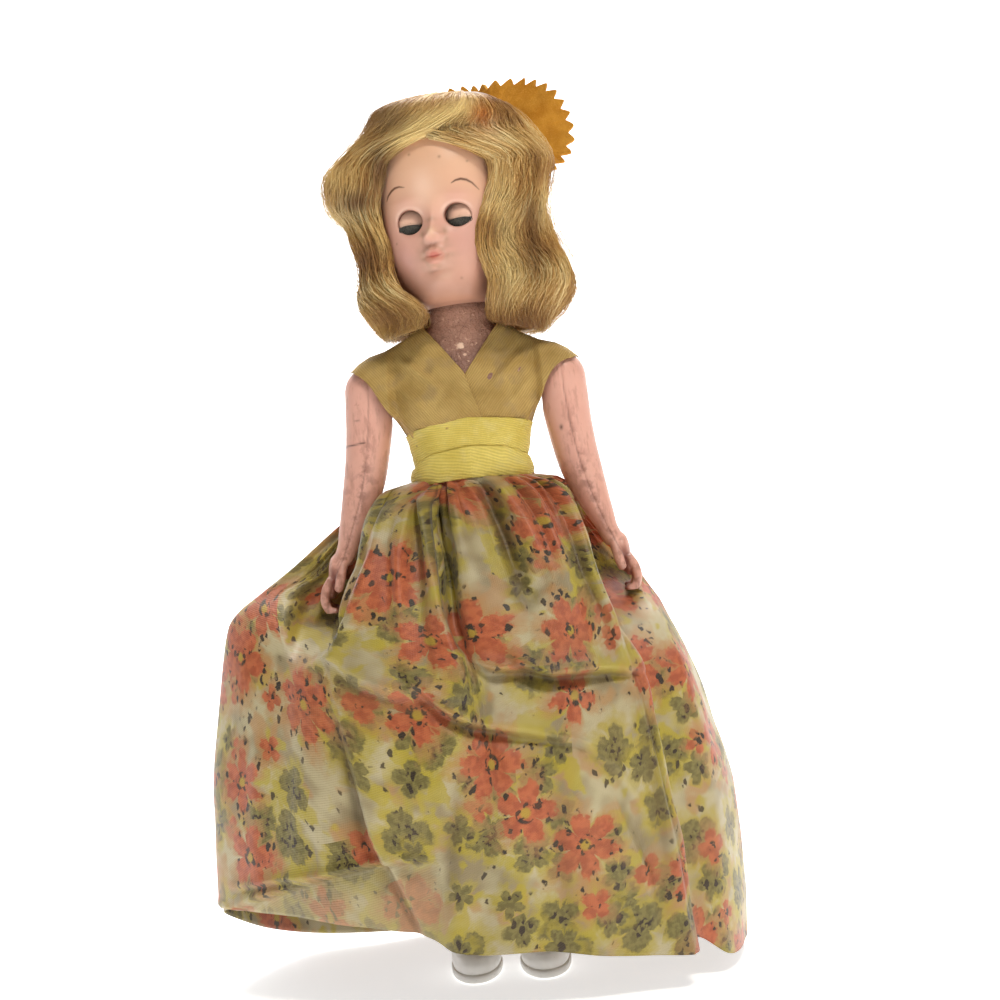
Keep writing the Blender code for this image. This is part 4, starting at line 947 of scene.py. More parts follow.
def make_cap():
    """The wig's net, which lies on the head under the hair."""
    z = np.concatenate([np.linspace(161.0, 192.6, 60), np.linspace(192.9, 193.5, 4)])
    t = np.linspace(0, 1, 150)
    zz = np.broadcast_to(z[:, None], (len(z), len(t)))
    start = 74.0 * (1 - smooth(183.5, 188.5, zz)) + 1.0
    a = np.radians(start + (360.0 - 2 * start) * t[None, :])
    hw, f, b = head_rows(zz)
    x, y = oval(a, hw + 0.35, hw + 0.35, f + 0.4, b + 0.35, 2.1)
    o = build("wig_net_cap", headed(np.stack([x, y, zz + 0.25], -1).reshape(-1, 3)), grid_faces(len(z), len(t)), NET)
    thicken(o, 0.25, 1.0)
    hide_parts("wig_cap")
    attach(o, "head")


# ---- eyes ------------------------------------------------------------------------
def eye_finish():
    f = Finish("sleep_eye", 0.3, Coat_Weight=0.15, Coat_Roughness=0.12)
    p = f.place()
    f.colour(f.tint())
    f.bumps((f.noise(p, 0.6, 2.0), 0.01))
    return f.m


def lash_finish():
    f = Finish("lash_bristle", 0.62, Sheen_Weight=0.1)
    p = f.place()
    fine = f.noise(f.vec("MULTIPLY", p, (3.5, 1, 0.8)), 0.35, 4.0, 0.7)
    f.colour(f.mix(f.step(fine, 0.35, 0.7), rgb(26, 24, 18), rgb(84, 82, 70)))
    f.bumps((fine, 0.15))
    return f.m


def make_eyes():
    eye, lash = eye_finish(), lash_finish()
    for side, cx in (("right", -5.5), ("left", 5.5)):
        n, m = 120, 90
        lat = np.linspace(0.02, np.pi - 0.02, m)      # from the front pole
        lon = np.linspace(0, 2 * np.pi, n + 1)[:-1]
        la, lo = np.meshgrid(lat, lon, indexing="ij")
        r = 4.28
        x = r * np.sin(la) * np.cos(lo)
        zz = r * np.sin(la) * np.sin(lo)
        y = -r * np.cos(la)
        # lid: everything above a line a little below the middle of the hole
        drop = np.degrees(np.arctan2(zz, -y))
        line = -9.0 - 0.5 * (x / 2.5) ** 2
        lid = smooth(-0.8, 0.8, drop - line)
        lip = np.exp(-(((drop - line - 3.4) / 3.0) ** 2))
        bulge = 1 + 0.035 * lid + 0.02 * lip * lid
        v = np.stack([cx + x * bulge, EYE_Y + y * bulge, EYE_Z + zz * bulge], -1).reshape(-1, 3)
        col = np.zeros((m, n, 3)) + rgb(238, 236, 230)
        iris = (np.hypot(x, zz + 0.9) < 1.9) & (y < 0)
        col[iris] = rgb(88, 110, 120)
        col[(np.hypot(x, zz + 0.9) < 0.85) & (y < 0)] = rgb(14, 13, 12)
        # the lid darkens towards its top as painted shade under the hole's rim, with a painted highlight along its
        # lower edge
        lid_col = np.array(rgb(240, 194, 168)) * (1 - 0.2 * smooth(10, 38, drop))[..., None]
        lid_col = lid_col * (1 - 0.35 * lip[..., None]) + np.array(rgb(250, 222, 200)) * 0.35 * lip[..., None]
        col = col * (1 - lid[..., None]) + lid_col * lid[..., None]
        faces = grid_faces(m, n, True)
        poles = len(v)
        v = np.concatenate([v, [[cx, EYE_Y - r * 1.01, EYE_Z], [cx, EYE_Y + r, EYE_Z]]])
        col = np.concatenate([col.reshape(-1, 3), [col[0, 0], col[-1, 0]]])
        o = build(f"eyeball_{side}", headed(v), faces, eye, colour=col)
        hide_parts(f"eye_{side}")
        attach(o, "eyes")
        # lash: a thick lens-shaped tuft along the lid's edge, brushed downwards
        rng = np.random.default_rng(11 if side == "right" else 12)
        parts_v, parts_f, count = [], [], 0
        across = 2.75
        s = np.linspace(-1, 1, 61)
        prof = np.linspace(0, 2 * np.pi, 15)[:-1]
        rings = []
        for q in s:
            half = 1.38 * (1 - abs(q) ** 2.4) ** 0.6 + 0.08
            thick = 0.34 * (1 - abs(q) ** 2.2) ** 0.6 + 0.04
            mid = math.radians(-23.5 + 4.5 * q * q - 1.2 * q * (1 if side == "right" else -1))
            xx = q * across
            rad = math.sqrt(max(4.72**2 - xx * xx, 1.0))
            for a in prof:
                rr = rad + thick * math.cos(a) * 0.8 + 0.12 * math.sin(a * 1.0)
                ang = mid + (half / 4.6) * math.sin(a)
                rings.append((cx + xx, EYE_Y - rr * math.cos(ang), EYE_Z + rr * math.sin(ang)))
        v = np.array(rings)
        f = grid_faces(len(s), len(prof), True)
        o = build(f"lash_tuft_{side}", headed(v), f, lash)
        # single bristles that break the tuft's edge
        vv, ff, count = [], [], 0
        for k in range(46):
            q = -0.97 + 1.94 * k / 45 + rng.normal(0, 0.01)
            xx = q * across
            rad = math.sqrt(max(4.78**2 - xx * xx, 1.0))
            pts = []
            for j in range(6):
                w = j / 5
                ang = math.radians(-11.0 + 3.0 * q * q - (23 - 9 * q * q) * w)
                rr = rad + 0.10 + 0.28 * w + 0.03 * rng.normal()
                pts.append((cx + xx * (1 + 0.09 * w), EYE_Y - rr * math.cos(ang), EYE_Z + rr * math.sin(ang)))
            tv, tf = tube(pts, [0.075, 0.075, 0.07, 0.06, 0.045, 0.02], 5)
            vv.append(tv)
            ff += [tuple(i + count for i in q2) for q2 in tf if len(q2) == 4]
            count += len(tv)
        b = build(f"lash_bristles_{side}", headed(np.concatenate(vv)), ff, lash)
        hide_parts(f"lash_{side}")
        for piece in (o, b):
            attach(piece, "eyes")


# ---- hair ------------------------------------------------------------------------
# outline of the waved hair by height: (height, how far it stands out)
HAIR_R = [
    (140.0, 19.6), (142.0, 20.6), (144.3, 21.5), (149.4, 22.0), (155.4, 22.0), (162.3, 22.4), (166.0, 22.7), (168.4, 23.4), (170.4, 25.9),
    (172.5, 28.0), (175.3, 28.9), (178.9, 28.0), (181.2, 25.3), (184.4, 22.0), (187.0, 19.7), (189.4, 18.4), (192.4, 15.8), (194.1, 12.2),
    (195.0, 8.2), (195.6, 2.5),
]
HAIR_L = [
    (140.0, 22.3), (141.6, 23.3), (147.0, 25.4), (151.5, 26.4), (156.1, 26.2), (160.9, 24.5), (164.7, 22.1), (169.4, 21.2), (172.1, 22.4),
    (175.2, 23.4), (178.0, 23.6), (181.8, 22.5), (187.0, 19.8), (191.4, 15.4), (193.0, 12.8), (194.0, 9.8), (194.7, 6.4), (195.6, 5.0),
]
HAIR_F = [
    (140.0, 12.5), (142.5, 14.6), (146.0, 16.2), (150.0, 17.2), (155.0, 17.8), (160.0, 17.4), (164.0, 16.6), (167.2, 16.4), (170.0, 17.0),
    (173.0, 17.8), (176.0, 18.0), (179.0, 17.6), (182.5, 17.4), (186.0, 16.9), (190.0, 15.0), (192.2, 12.4), (193.9, 9.0), (195.0, 5.6), (195.6, 2.0),
]
HAIR_B = [
    (140.0, 16.0), (142.5, 19.0), (146.0, 21.0), (150.0, 22.6), (155.0, 23.8), (160.0, 24.0), (164.0, 22.8), (167.2, 22.4), (170.0, 23.2),
    (173.0, 23.8), (176.0, 23.4), (179.0, 22.6), (182.5, 21.6), (186.0, 20.2), (190.0, 17.4), (192.2, 14.4), (193.9, 10.4), (195.0, 6.4), (195.6, 2.0),
]
# where the hair's edge crosses the face, by height: how far to the side
EDGE_R = [
    (140.0, -17.0), (141.6, -14.0), (143.5, -10.0), (146.5, -8.6), (148.6, -9.7), (150.2, -11.4), (154.0, -14.0), (157.7, -15.4), (162.2, -15.8), (166.7, -16.0),
    (171.2, -16.8), (175.7, -16.6), (179.2, -15.2), (182.9, -11.0), (184.6, -6.8), (185.6, -3.0), (187.0, 0.5), (190.0, 2.5), (195.6, 1.0),
]
EDGE_L = [
    (140.0, 14.0), (142.1, 10.0), (145.4, 8.2), (149.4, 7.6), (153.5, 7.0), (157.1, 6.4), (162.5, 6.2), (166.9, 6.4), (170.0, 7.6), (173.5, 9.6),
    (176.5, 10.6), (178.9, 10.3), (180.2, 9.0), (181.4, 6.0), (182.8, 2.3), (183.9, -0.6), (184.9, -4.0), (186.5, -3.6), (190.0, 0.5), (195.6, -1.0),
]
POLE = np.array([4.2, -7.0])


def by_height(rows, z):
    return eased([q[0] for q in rows], [q[1] for q in rows], z)


def hair_hull(az, z, k):
    """Point of the hair's outer shape at an azimuth (radians), height and layer."""
    r, l, f, b = [by_height(c, z) for c in (HAIR_R, HAIR_L, HAIR_F, HAIR_B)]
    top = smooth(186.0, 195.4, z)
    x, y = oval(az, r + POLE[0] * top, l - POLE[0] * top, f, b, 2.25)
    return x * k + POLE[0] * top, y * k + POLE[1] * top * 0.6, z


def hair_path(side, u, k, s, z_end, sway, phase, drop, curl=1.0):
    """Points of strands: side -1 doll's right, +1 its left; u 0 at the face, 1 at the back."""
    z0 = np.where(side < 0, 195.5, 194.65) - drop
    z = z0 + (z_end - z0) * s**1.5
    x_edge = np.where(side < 0, by_height(EDGE_R, z), by_height(EDGE_L, z))
    wide = np.where(x_edge < 0, by_height(HAIR_R, z), by_height(HAIR_L, z))
    edge = np.degrees(np.arcsin(np.clip(np.abs(x_edge) / (0.84 * wide), 0, 0.98) ** 1.125)) * np.sign(x_edge)
    far = np.where(side < 0, -181.0, 181.0)
    az = np.radians(edge + (far - edge) * u)
    # the waves run across every lock at about the same heights, as set on rollers
    turn = (z - 151.0) / 15.5 * 2 * np.pi + phase
    r = 20.0
    az = az + side * sway * np.sin(turn) / r * smooth(0.0, 0.25, s) * (0.45 + 0.55 * smooth(0, 0.1, u))
    # close to the skin at the hairline, full lower down
    edge_in = np.exp(-u / 0.05)
    kk = k - 0.07 * edge_in * smooth(187, 183, z) - 0.05 * edge_in * smooth(181, 185, z) * (1 - smooth(187, 191, z))
    kk = kk + 0.026 * curl * np.cos(turn) * smooth(0.1, 0.4, s)
    # the ends turn under
    kk = kk - 0.11 * smooth(0.90, 1.0, s) ** 1.5
    # every strand starts from the crown's middle
    kk = kk * np.clip(s / 0.045, 0.0144, 1.0) ** 0.5
    x, y, zz = hair_hull(az, z, kk)
    # the ends pass over the shoulders when the head turns
    zz = np.maximum(zz, np.interp(np.hypot(x, y), [0.5, 9.0, 20.3, 60.0], [148.0, 145.9, 140.7, 140.7]) + 0.25)
    return np.stack([x, y, zz], -1)


def hair_tone(side, u, s, p, rnd, clump):
    """Colour along strands: straw and honey streaks, with painted shade inside the waves, painted highlights on their
    crests, and patches of painted light and shade.
    """
    z = p[..., 2]
    deep, honey, straw, pale = (np.array(rgb(*c)) for c in ((138, 94, 44), (188, 140, 74), (224, 184, 112), (250, 224, 160)))
    v = 0.52 + 0.58 * (clump - 0.5) + 0.18 * (rnd - 0.5)
    # the cosine term paints highlights on the waves' crests and shade in their troughs; the lumps are uneven tone
    v = v + 0.20 * np.cos((z - 154.0) / 15.5 * 2 * np.pi) + 0.46 * lumps(p, 6.0, 2)
    v = np.clip(v, 0, 1)[..., None]
    c = np.where(v < 0.35, deep + (honey - deep) * (v / 0.35), np.where(v < 0.7, honey + (straw - honey) * ((v - 0.35) / 0.35), straw + (pale - straw) * ((v - 0.7) / 0.3)))
    x, y = p[..., 0], p[..., 1]

    def toward(col, w):
        nonlocal c
        w = np.clip(w, 0, 1)[..., None]
        c = c * (1 - w) + np.array(rgb(*col)) * w

    front = smooth(3, -7, y)
    # a painted highlight along the fringe's swoop
    swoop_highlight, _, _ = near_line(x, z, [(7.0, 191.0), (0.0, 188.6), (-5.5, 187.2), (-9.8, 184.2)])
    toward((255, 226, 150), 0.95 * front * np.exp(-((swoop_highlight / 1.9) ** 2)))
    toward((206, 124, 46), 0.9 * front * np.exp(-(((x - 8.6) / 2.6) ** 2) - ((z - 188.3) / 3.6) ** 2))
    # a painted highlight on a strand beside the part
    toward((244, 204, 150), 0.6 * front * np.exp(-(((x - 11.2) / 0.9) ** 2) - ((z - 184.8) / 2.6) ** 2))
    toward((148, 122, 80), 0.75 * front * np.exp(-(((x + 11.5) / 4.6) ** 2) - ((z - 190.0) / 4.0) ** 2))
    # painted shade in the curl's hollow and near the face on the doll's right
    toward((104, 70, 36), 0.95 * front * np.exp(-(((x + 14.8) / 3.0) ** 2) - ((z - 179.0) / 6.0) ** 2))
    toward((104, 66, 32), 0.95 * front * np.exp(-(((x + 20.5) / 4.4) ** 2) - ((z - 172.2) / 2.6) ** 2))
    # a painted highlight on the doll's right side
    toward((252, 220, 146), 0.8 * front * np.exp(-(((x + 25.4) / 2.6) ** 2) - ((z - 178.2) / 2.6) ** 2))
    # painted shade low on the doll's right
    toward((120, 82, 44), 0.6 * front * np.exp(-(((x + 19.0) / 2.6) ** 2) - ((z - 160.0) / 5.0) ** 2))
    # painted highlights along the hair's edge by the doll's right cheek and in a band near the face on its left
    toward((246, 212, 136), 0.7 * front * np.exp(-(((x + 15.6) / 1.3) ** 2) - ((z - 165.0) / 4.0) ** 2))
    toward((246, 220, 150), 0.85 * front * np.exp(-(((x - 11.8) / 2.2) ** 2)) * smooth(177, 172, z) * smooth(146, 152, z) * (0.55 + 0.45 * clump))
    toward((128, 88, 48), 0.7 * front * np.exp(-(((x - 17.5) / 2.4) ** 2)) * smooth(174, 166, z) * smooth(148, 156, z))
    # painted shade at the low ends on the doll's left
    toward((132, 80, 46), 0.6 * front * smooth(4, 10, x) * smooth(146.0, 142.0, z))
    return c


def make_hair():
    rng = np.random.default_rng(4)
    # an under layer that closes the wig below the strands
    for side, name in ((-1, "wig_under_right"), (1, "wig_under_left")):
        us = np.concatenate([[0.015], np.linspace(0.03, 1.0, 90)])
        ss = np.linspace(0.0, 1.0, 110)
        u, s = np.meshgrid(us, ss)
        ze = 142.6 + 0 * u
        p = hair_path(side, u, 0.84 + 0 * u, s, ze, 0.8, 0.0, 0.5 + 0 * u)
        rib = lumps(np.stack([u * 60, s * 2, 0 * u], -1), 1.0, 5)
        ctr = np.array([0, 1.0])
        xy = p[..., :2] - ctr
        p[..., :2] = ctr + xy * (1 + 0.018 * rib[..., None])
        # the under layer takes the strands' colour darkened, as painted shade beneath them
        col = hair_tone(side, u, s, p, 0.35 + 0.3 * rib, 0.35 + 0.3 * lumps(np.stack([u * 26, s * 1.2, 0 * u], -1), 1.0, 8)) * 0.62
        o = build(name, p.reshape(-1, 3), grid_faces(len(ss), len(us), flip=side < 0), HAIR, colour=col.reshape(-1, 3))
        thicken(o, 0.8, 1.0 if side < 0 else -1.0)
        if side < 0:
            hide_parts("wig_hair")
        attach(o, "head")
    # locks of strands
    n_lock, per = 300, 26
    m = 30
    s = np.linspace(0, 1, m) ** 0.92
    lock_side = np.where(np.arange(n_lock) % 2 == 0, -1, 1)
    order = hashed(np.arange(n_lock), 3)
    lock_u = (np.arange(n_lock) // 2 + 0.5 * order) / (n_lock / 2)
    lock_u = np.clip(lock_u ** 1.35, 0.004, 0.995)
    rng.shuffle(order)
    lock_k = 0.865 + 0.10 * hashed(np.arange(n_lock), 9)
    lock_phase = 1.5 * (hashed(np.arange(n_lock), 5) - 0.5)
    lock_tone = hashed(np.arange(n_lock), 7)
    lock_wave = hashed(np.arange(n_lock), 17)
    lock_end = 141.2 + 3.4 * hashed(np.arange(n_lock), 8)
    lock_drop = 0.02 + 0.9 * hashed(np.arange(n_lock), 12) ** 2
    groups = {}
    for i in range(n_lock):
        side = lock_side[i]
        k = np.arange(per)
        du = rng.normal(0, 1, per) * 0.012 / (0.35 + lock_u[i])
        dk = rng.normal(0, 0.013, per)
        gather = (1.0 - 0.45 * smooth(0.15, 0.6, s) + 0.25 * smooth(0.75, 1.0, s))[None, :]
        u = np.clip(lock_u[i] + du[:, None] * gather * 1.6, 0.0, 0.999)
        kk = lock_k[i] + dk[:, None] * gather
        ss = np.broadcast_to(s, (per, m))
        z_end = (lock_end[i] + rng.normal(0, 0.9, per))[:, None] + 0 * ss
        z_end = np.maximum(z_end, 140.7)
        phase = lock_phase[i] + rng.normal(0, 0.10, per)[:, None]
        sway = (0.9 + 1.2 * lock_wave[i]) + 0.4 * rng.normal(0, 1, per)[:, None]
        drop = (lock_drop[i] + rng.uniform(0, 0.3, per))[:, None]
        p = hair_path(side, u, kk, ss, z_end, sway, phase, drop, 0.5 + 1.2 * lock_wave[i])
        fuzz = np.cumsum(rng.normal(0, 0.085, (per, m, 3)), axis=1)
        fuzz -= fuzz[:, :1]
        p = p + fuzz
        p[..., 2] = np.maximum(p[..., 2], 140.5)
        col = hair_tone(side, u, ss, p, rng.uniform(0, 1, per)[:, None] + 0 * ss, lock_tone[i] + 0 * ss)
        key = ("front" if lock_u[i] < 0.28 else "side" if lock_u[i] < 0.62 else "back") + ("_right" if side < 0 else "_left")
        key += "" if lock_u[i] >= 0.62 else ("_over", "_under")[(i // 2) % 2]
        rad = 0.105 * (0.55 + 0.9 * rng.uniform(0, 1, per))[:, None] * (1 - 0.75 * smooth(0.8, 1.0, ss))
        groups.setdefault(key, []).append((p, rad, col))
    # stray hairs
    stray = []
    per = 260
    side = np.where(rng.uniform(0, 1, per) < 0.6, -1, 1)[:, None]
    ss = np.broadcast_to(s, (per, m))
    u = rng.uniform(0.05, 0.5, per)[:, None] + 0 * ss
    p = hair_path(side, u, 0.95 + rng.uniform(0.0, 0.06, per)[:, None] + 0 * ss, ss, rng.uniform(143, 160, per)[:, None] + 0 * ss, 1.8, rng.normal(0, 0.5, per)[:, None], 2.0)
    fuzz = np.cumsum(rng.normal(0, 0.20, (per, m, 3)), axis=1)
    p = p + fuzz - fuzz[:, :1]
    p[..., 2] = np.maximum(p[..., 2], 141.0)
    col = hair_tone(side, u, ss, p, rng.uniform(0, 1, per)[:, None] + 0 * ss, 0.5 + 0 * ss)
    stray.append((p, 0.045 + 0 * ss, col))
    groups["stray"] = stray
    for key, items in sorted(groups.items()):
        strands_object("wig_locks_" + key, items)


def strands_object(name, items):
    verts, faces, cols, base = [], [], [], 0
    for p, rad, col in items:
        n, m = p.shape[:2]
        d = np.gradient(p, axis=1)
        d /= np.linalg.norm(d, axis=2)[..., None] + 1e-9
        out = p - np.array([0, 2.0, 168.0])
        out /= np.linalg.norm(out, axis=2)[..., None] + 1e-9
        side = np.cross(d, out)
        side /= np.linalg.norm(side, axis=2)[..., None] + 1e-9
        up = np.cross(side, d)
        ring = []
        for a in (math.pi / 2, math.pi / 2 + 2.1, math.pi / 2 - 2.1):
            ring.append(p + rad[..., None] * (math.cos(a) * side * 1.4 + math.sin(a) * up))
        v = np.stack(ring, 2)  # n, m, 3, 3
        idx = base + np.arange(n * m * 3).reshape(n, m, 3)
        for j in range(3):
            k = (j + 1) % 3
            faces.append(np.stack([idx[:, :-1, j], idx[:, :-1, k], idx[:, 1:, k], idx[:, 1:, j]], -1).reshape(-1, 4))
        verts.append(v.reshape(-1, 3))
        cols.append(np.repeat(col[:, :, None, :], 3, axis=2).reshape(-1, 3))
        base += n * m * 3
    o = build(name, np.concatenate(verts), np.concatenate(faces), HAIR, colour=np.concatenate(cols))
    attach(o, "head")
    return o


# ---- felt rosette ------------------------------------------------------------------
def make_rosette():
    place = HEAD_PLACE @ Matrix.Translation((7.5, 25.3, 182.0)) @ Matrix.Rotation(math.radians(-2), 4, "X")
    m = np.array(place)
    teeth, per_tooth = 38, 18
    n = teeth * per_tooth
    fine = np.linspace(0, 2 * np.pi, 4001)
    ox = 21.4 * np.sign(np.cos(fine)) * np.abs(np.cos(fine)) ** (2 / 2.7)
    oz = 14.0 * np.sign(np.sin(fine)) * np.abs(np.sin(fine)) ** (2 / 2.7)
    run = np.concatenate([[0], np.cumsum(np.hypot(np.diff(ox), np.diff(oz)))])
    q = np.arange(n) / n
    # the shears were set a little unevenly
    warped = q + 0.0035 * np.sin(2 * np.pi * 5 * q) + 0.002 * np.sin(2 * np.pi * 9 * q + 1)
    at = np.interp(warped * run[-1], run, fine)
    ex = 21.4 * np.sign(np.cos(at)) * np.abs(np.cos(at)) ** (2 / 2.7)
    ez = 14.0 * np.sign(np.sin(at)) * np.abs(np.sin(at)) ** (2 / 2.7)
    saw = np.abs((q * teeth) % 1.0 * 2 - 1)
    saw = 0.5 - 0.5 * np.cos(np.pi * saw) * 0.35 - 0.5 * (1 - 2 * saw) * 0.65
    deep = 1.6 + 0.4 * hashed(np.floor(q * teeth), 3)
    long = np.hypot(ex, ez)
    inset = (1 - saw) * deep + 0.3 + 0.5 * np.sin(2 * np.pi * 3 * q + 0.6) ** 2
    ex, ez = ex * (1 - inset / long), ez * (1 - inset / long)
    rr = np.concatenate([[0.02], np.linspace(0.08, 0.86, 24), np.linspace(0.88, 1.0, 12)])
    x = rr[:, None] * ex[None, :]
    z = rr[:, None] * ez[None, :]
    A = np.arctan2(z, x) + 0 * x
    R = rr[:, None] + 0 * x
    wave = (R**1.8) * (1.4 * np.sin(4 * A + 0.9) + 0.8 * np.sin(7 * A + 2.0) + 0.3 * np.sin(13 * A))
    y = wave + 0.25 * lumps(np.stack([x, z, 0 * x], -1), 3.0, 2) - 0.35 * np.exp(-((z + 3.2 + 0.2 * x) ** 2) / 0.8)
    p = np.stack([x - 1.1, y, z + 7.6], -1).reshape(-1, 3) @ m[:3, :3].T + m[:3, 3]
    o = build("felt_rosette", p, grid_faces(len(rr), n, True), FELT)
    area = area_of(o)
    thicken(o, 0.9, 0.0)
    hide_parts("hair_ornament")
    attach(o, "head")
    print("rosette area", area)


# ---- body's visible neck and chest ------------------------------------------------
TORSO_ROWS = np.array([
    (80.0, 9.0, 6.0, 6.5), (82.0, 12.5, 8.0, 8.8), (86.0, 14.6, 9.4, 10.6), (92.0, 15.2, 9.8, 11.0),
    (99.0, 14.2, 9.2, 9.8), (106.0, 12.0, 8.2, 8.0), (113.0, 11.4, 8.1, 7.6), (118.0, 12.4, 9.0, 8.0),
    (123.0, 14.2, 10.2, 8.4), (127.0, 15.6, 10.8, 8.7), (131.0, 16.2, 10.2, 8.7), (135.0, 16.2, 8.8, 8.2),
    (138.0, 15.5, 7.8, 7.7), (140.0, 13.9, 7.3, 7.2), (141.6, 11.4, 7.0, 6.9), (143.0, 9.0, 6.9, 6.8),
    (144.2, 7.4, 6.8, 6.8), (145.2, 6.8, 6.8, 6.8), (147.2, 6.75, 6.75, 6.75), (149.2, 6.3, 6.3, 6.3),
    (151.0, 5.1, 5.1, 5.1), (152.3, 3.4, 3.4, 3.4), (152.8, 2.7, 2.7, 2.7),
])


def torso_rows(z):
    return [eased(TORSO_ROWS[:, 0], TORSO_ROWS[:, k], z) for k in (1, 2, 3)]


def make_body():
    for name in ("torso_front_half", "torso_back_half"):
        NODES[name].data.materials.clear()
        NODES[name].data.materials.append(NECK)


# ---- arms ----------------------------------------------------------------------------
ARM_ROWS = np.array([
    (136.5, 21.6, 1.6, 0.0, 1.6), (135.4, 21.6, 3.5, 0.0, 3.6), (133.4, 21.6, 5.0, 0.0, 5.1),
    (131.0, 21.6, 5.6, 0.0, 5.6), (127.0, 21.9, 5.5, 0.0, 5.5), (122.0, 22.4, 5.25, 0.0, 5.3),
    (116.0, 23.3, 5.0, 0.0, 5.1), (111.0, 24.3, 4.8, 0.0, 4.9), (105.0, 26.0, 4.1, -0.3, 4.3),
    (100.0, 27.8, 3.2, -0.6, 3.5), (96.5, 29.2, 2.5, -0.9, 2.9), (94.0, 30.3, 2.6, -1.1, 3.2),
    (90.5, 32.0, 3.0, -1.4, 3.9), (87.0, 33.4, 3.1, -1.6, 3.9), (84.0, 34.2, 2.6, -1.8, 3.3),
    (82.4, 34.4, 1.3, -1.9, 2.0),
])


def arm_middle(z):
    return eased(ARM_ROWS[:, 0], ARM_ROWS[:, 1], z)


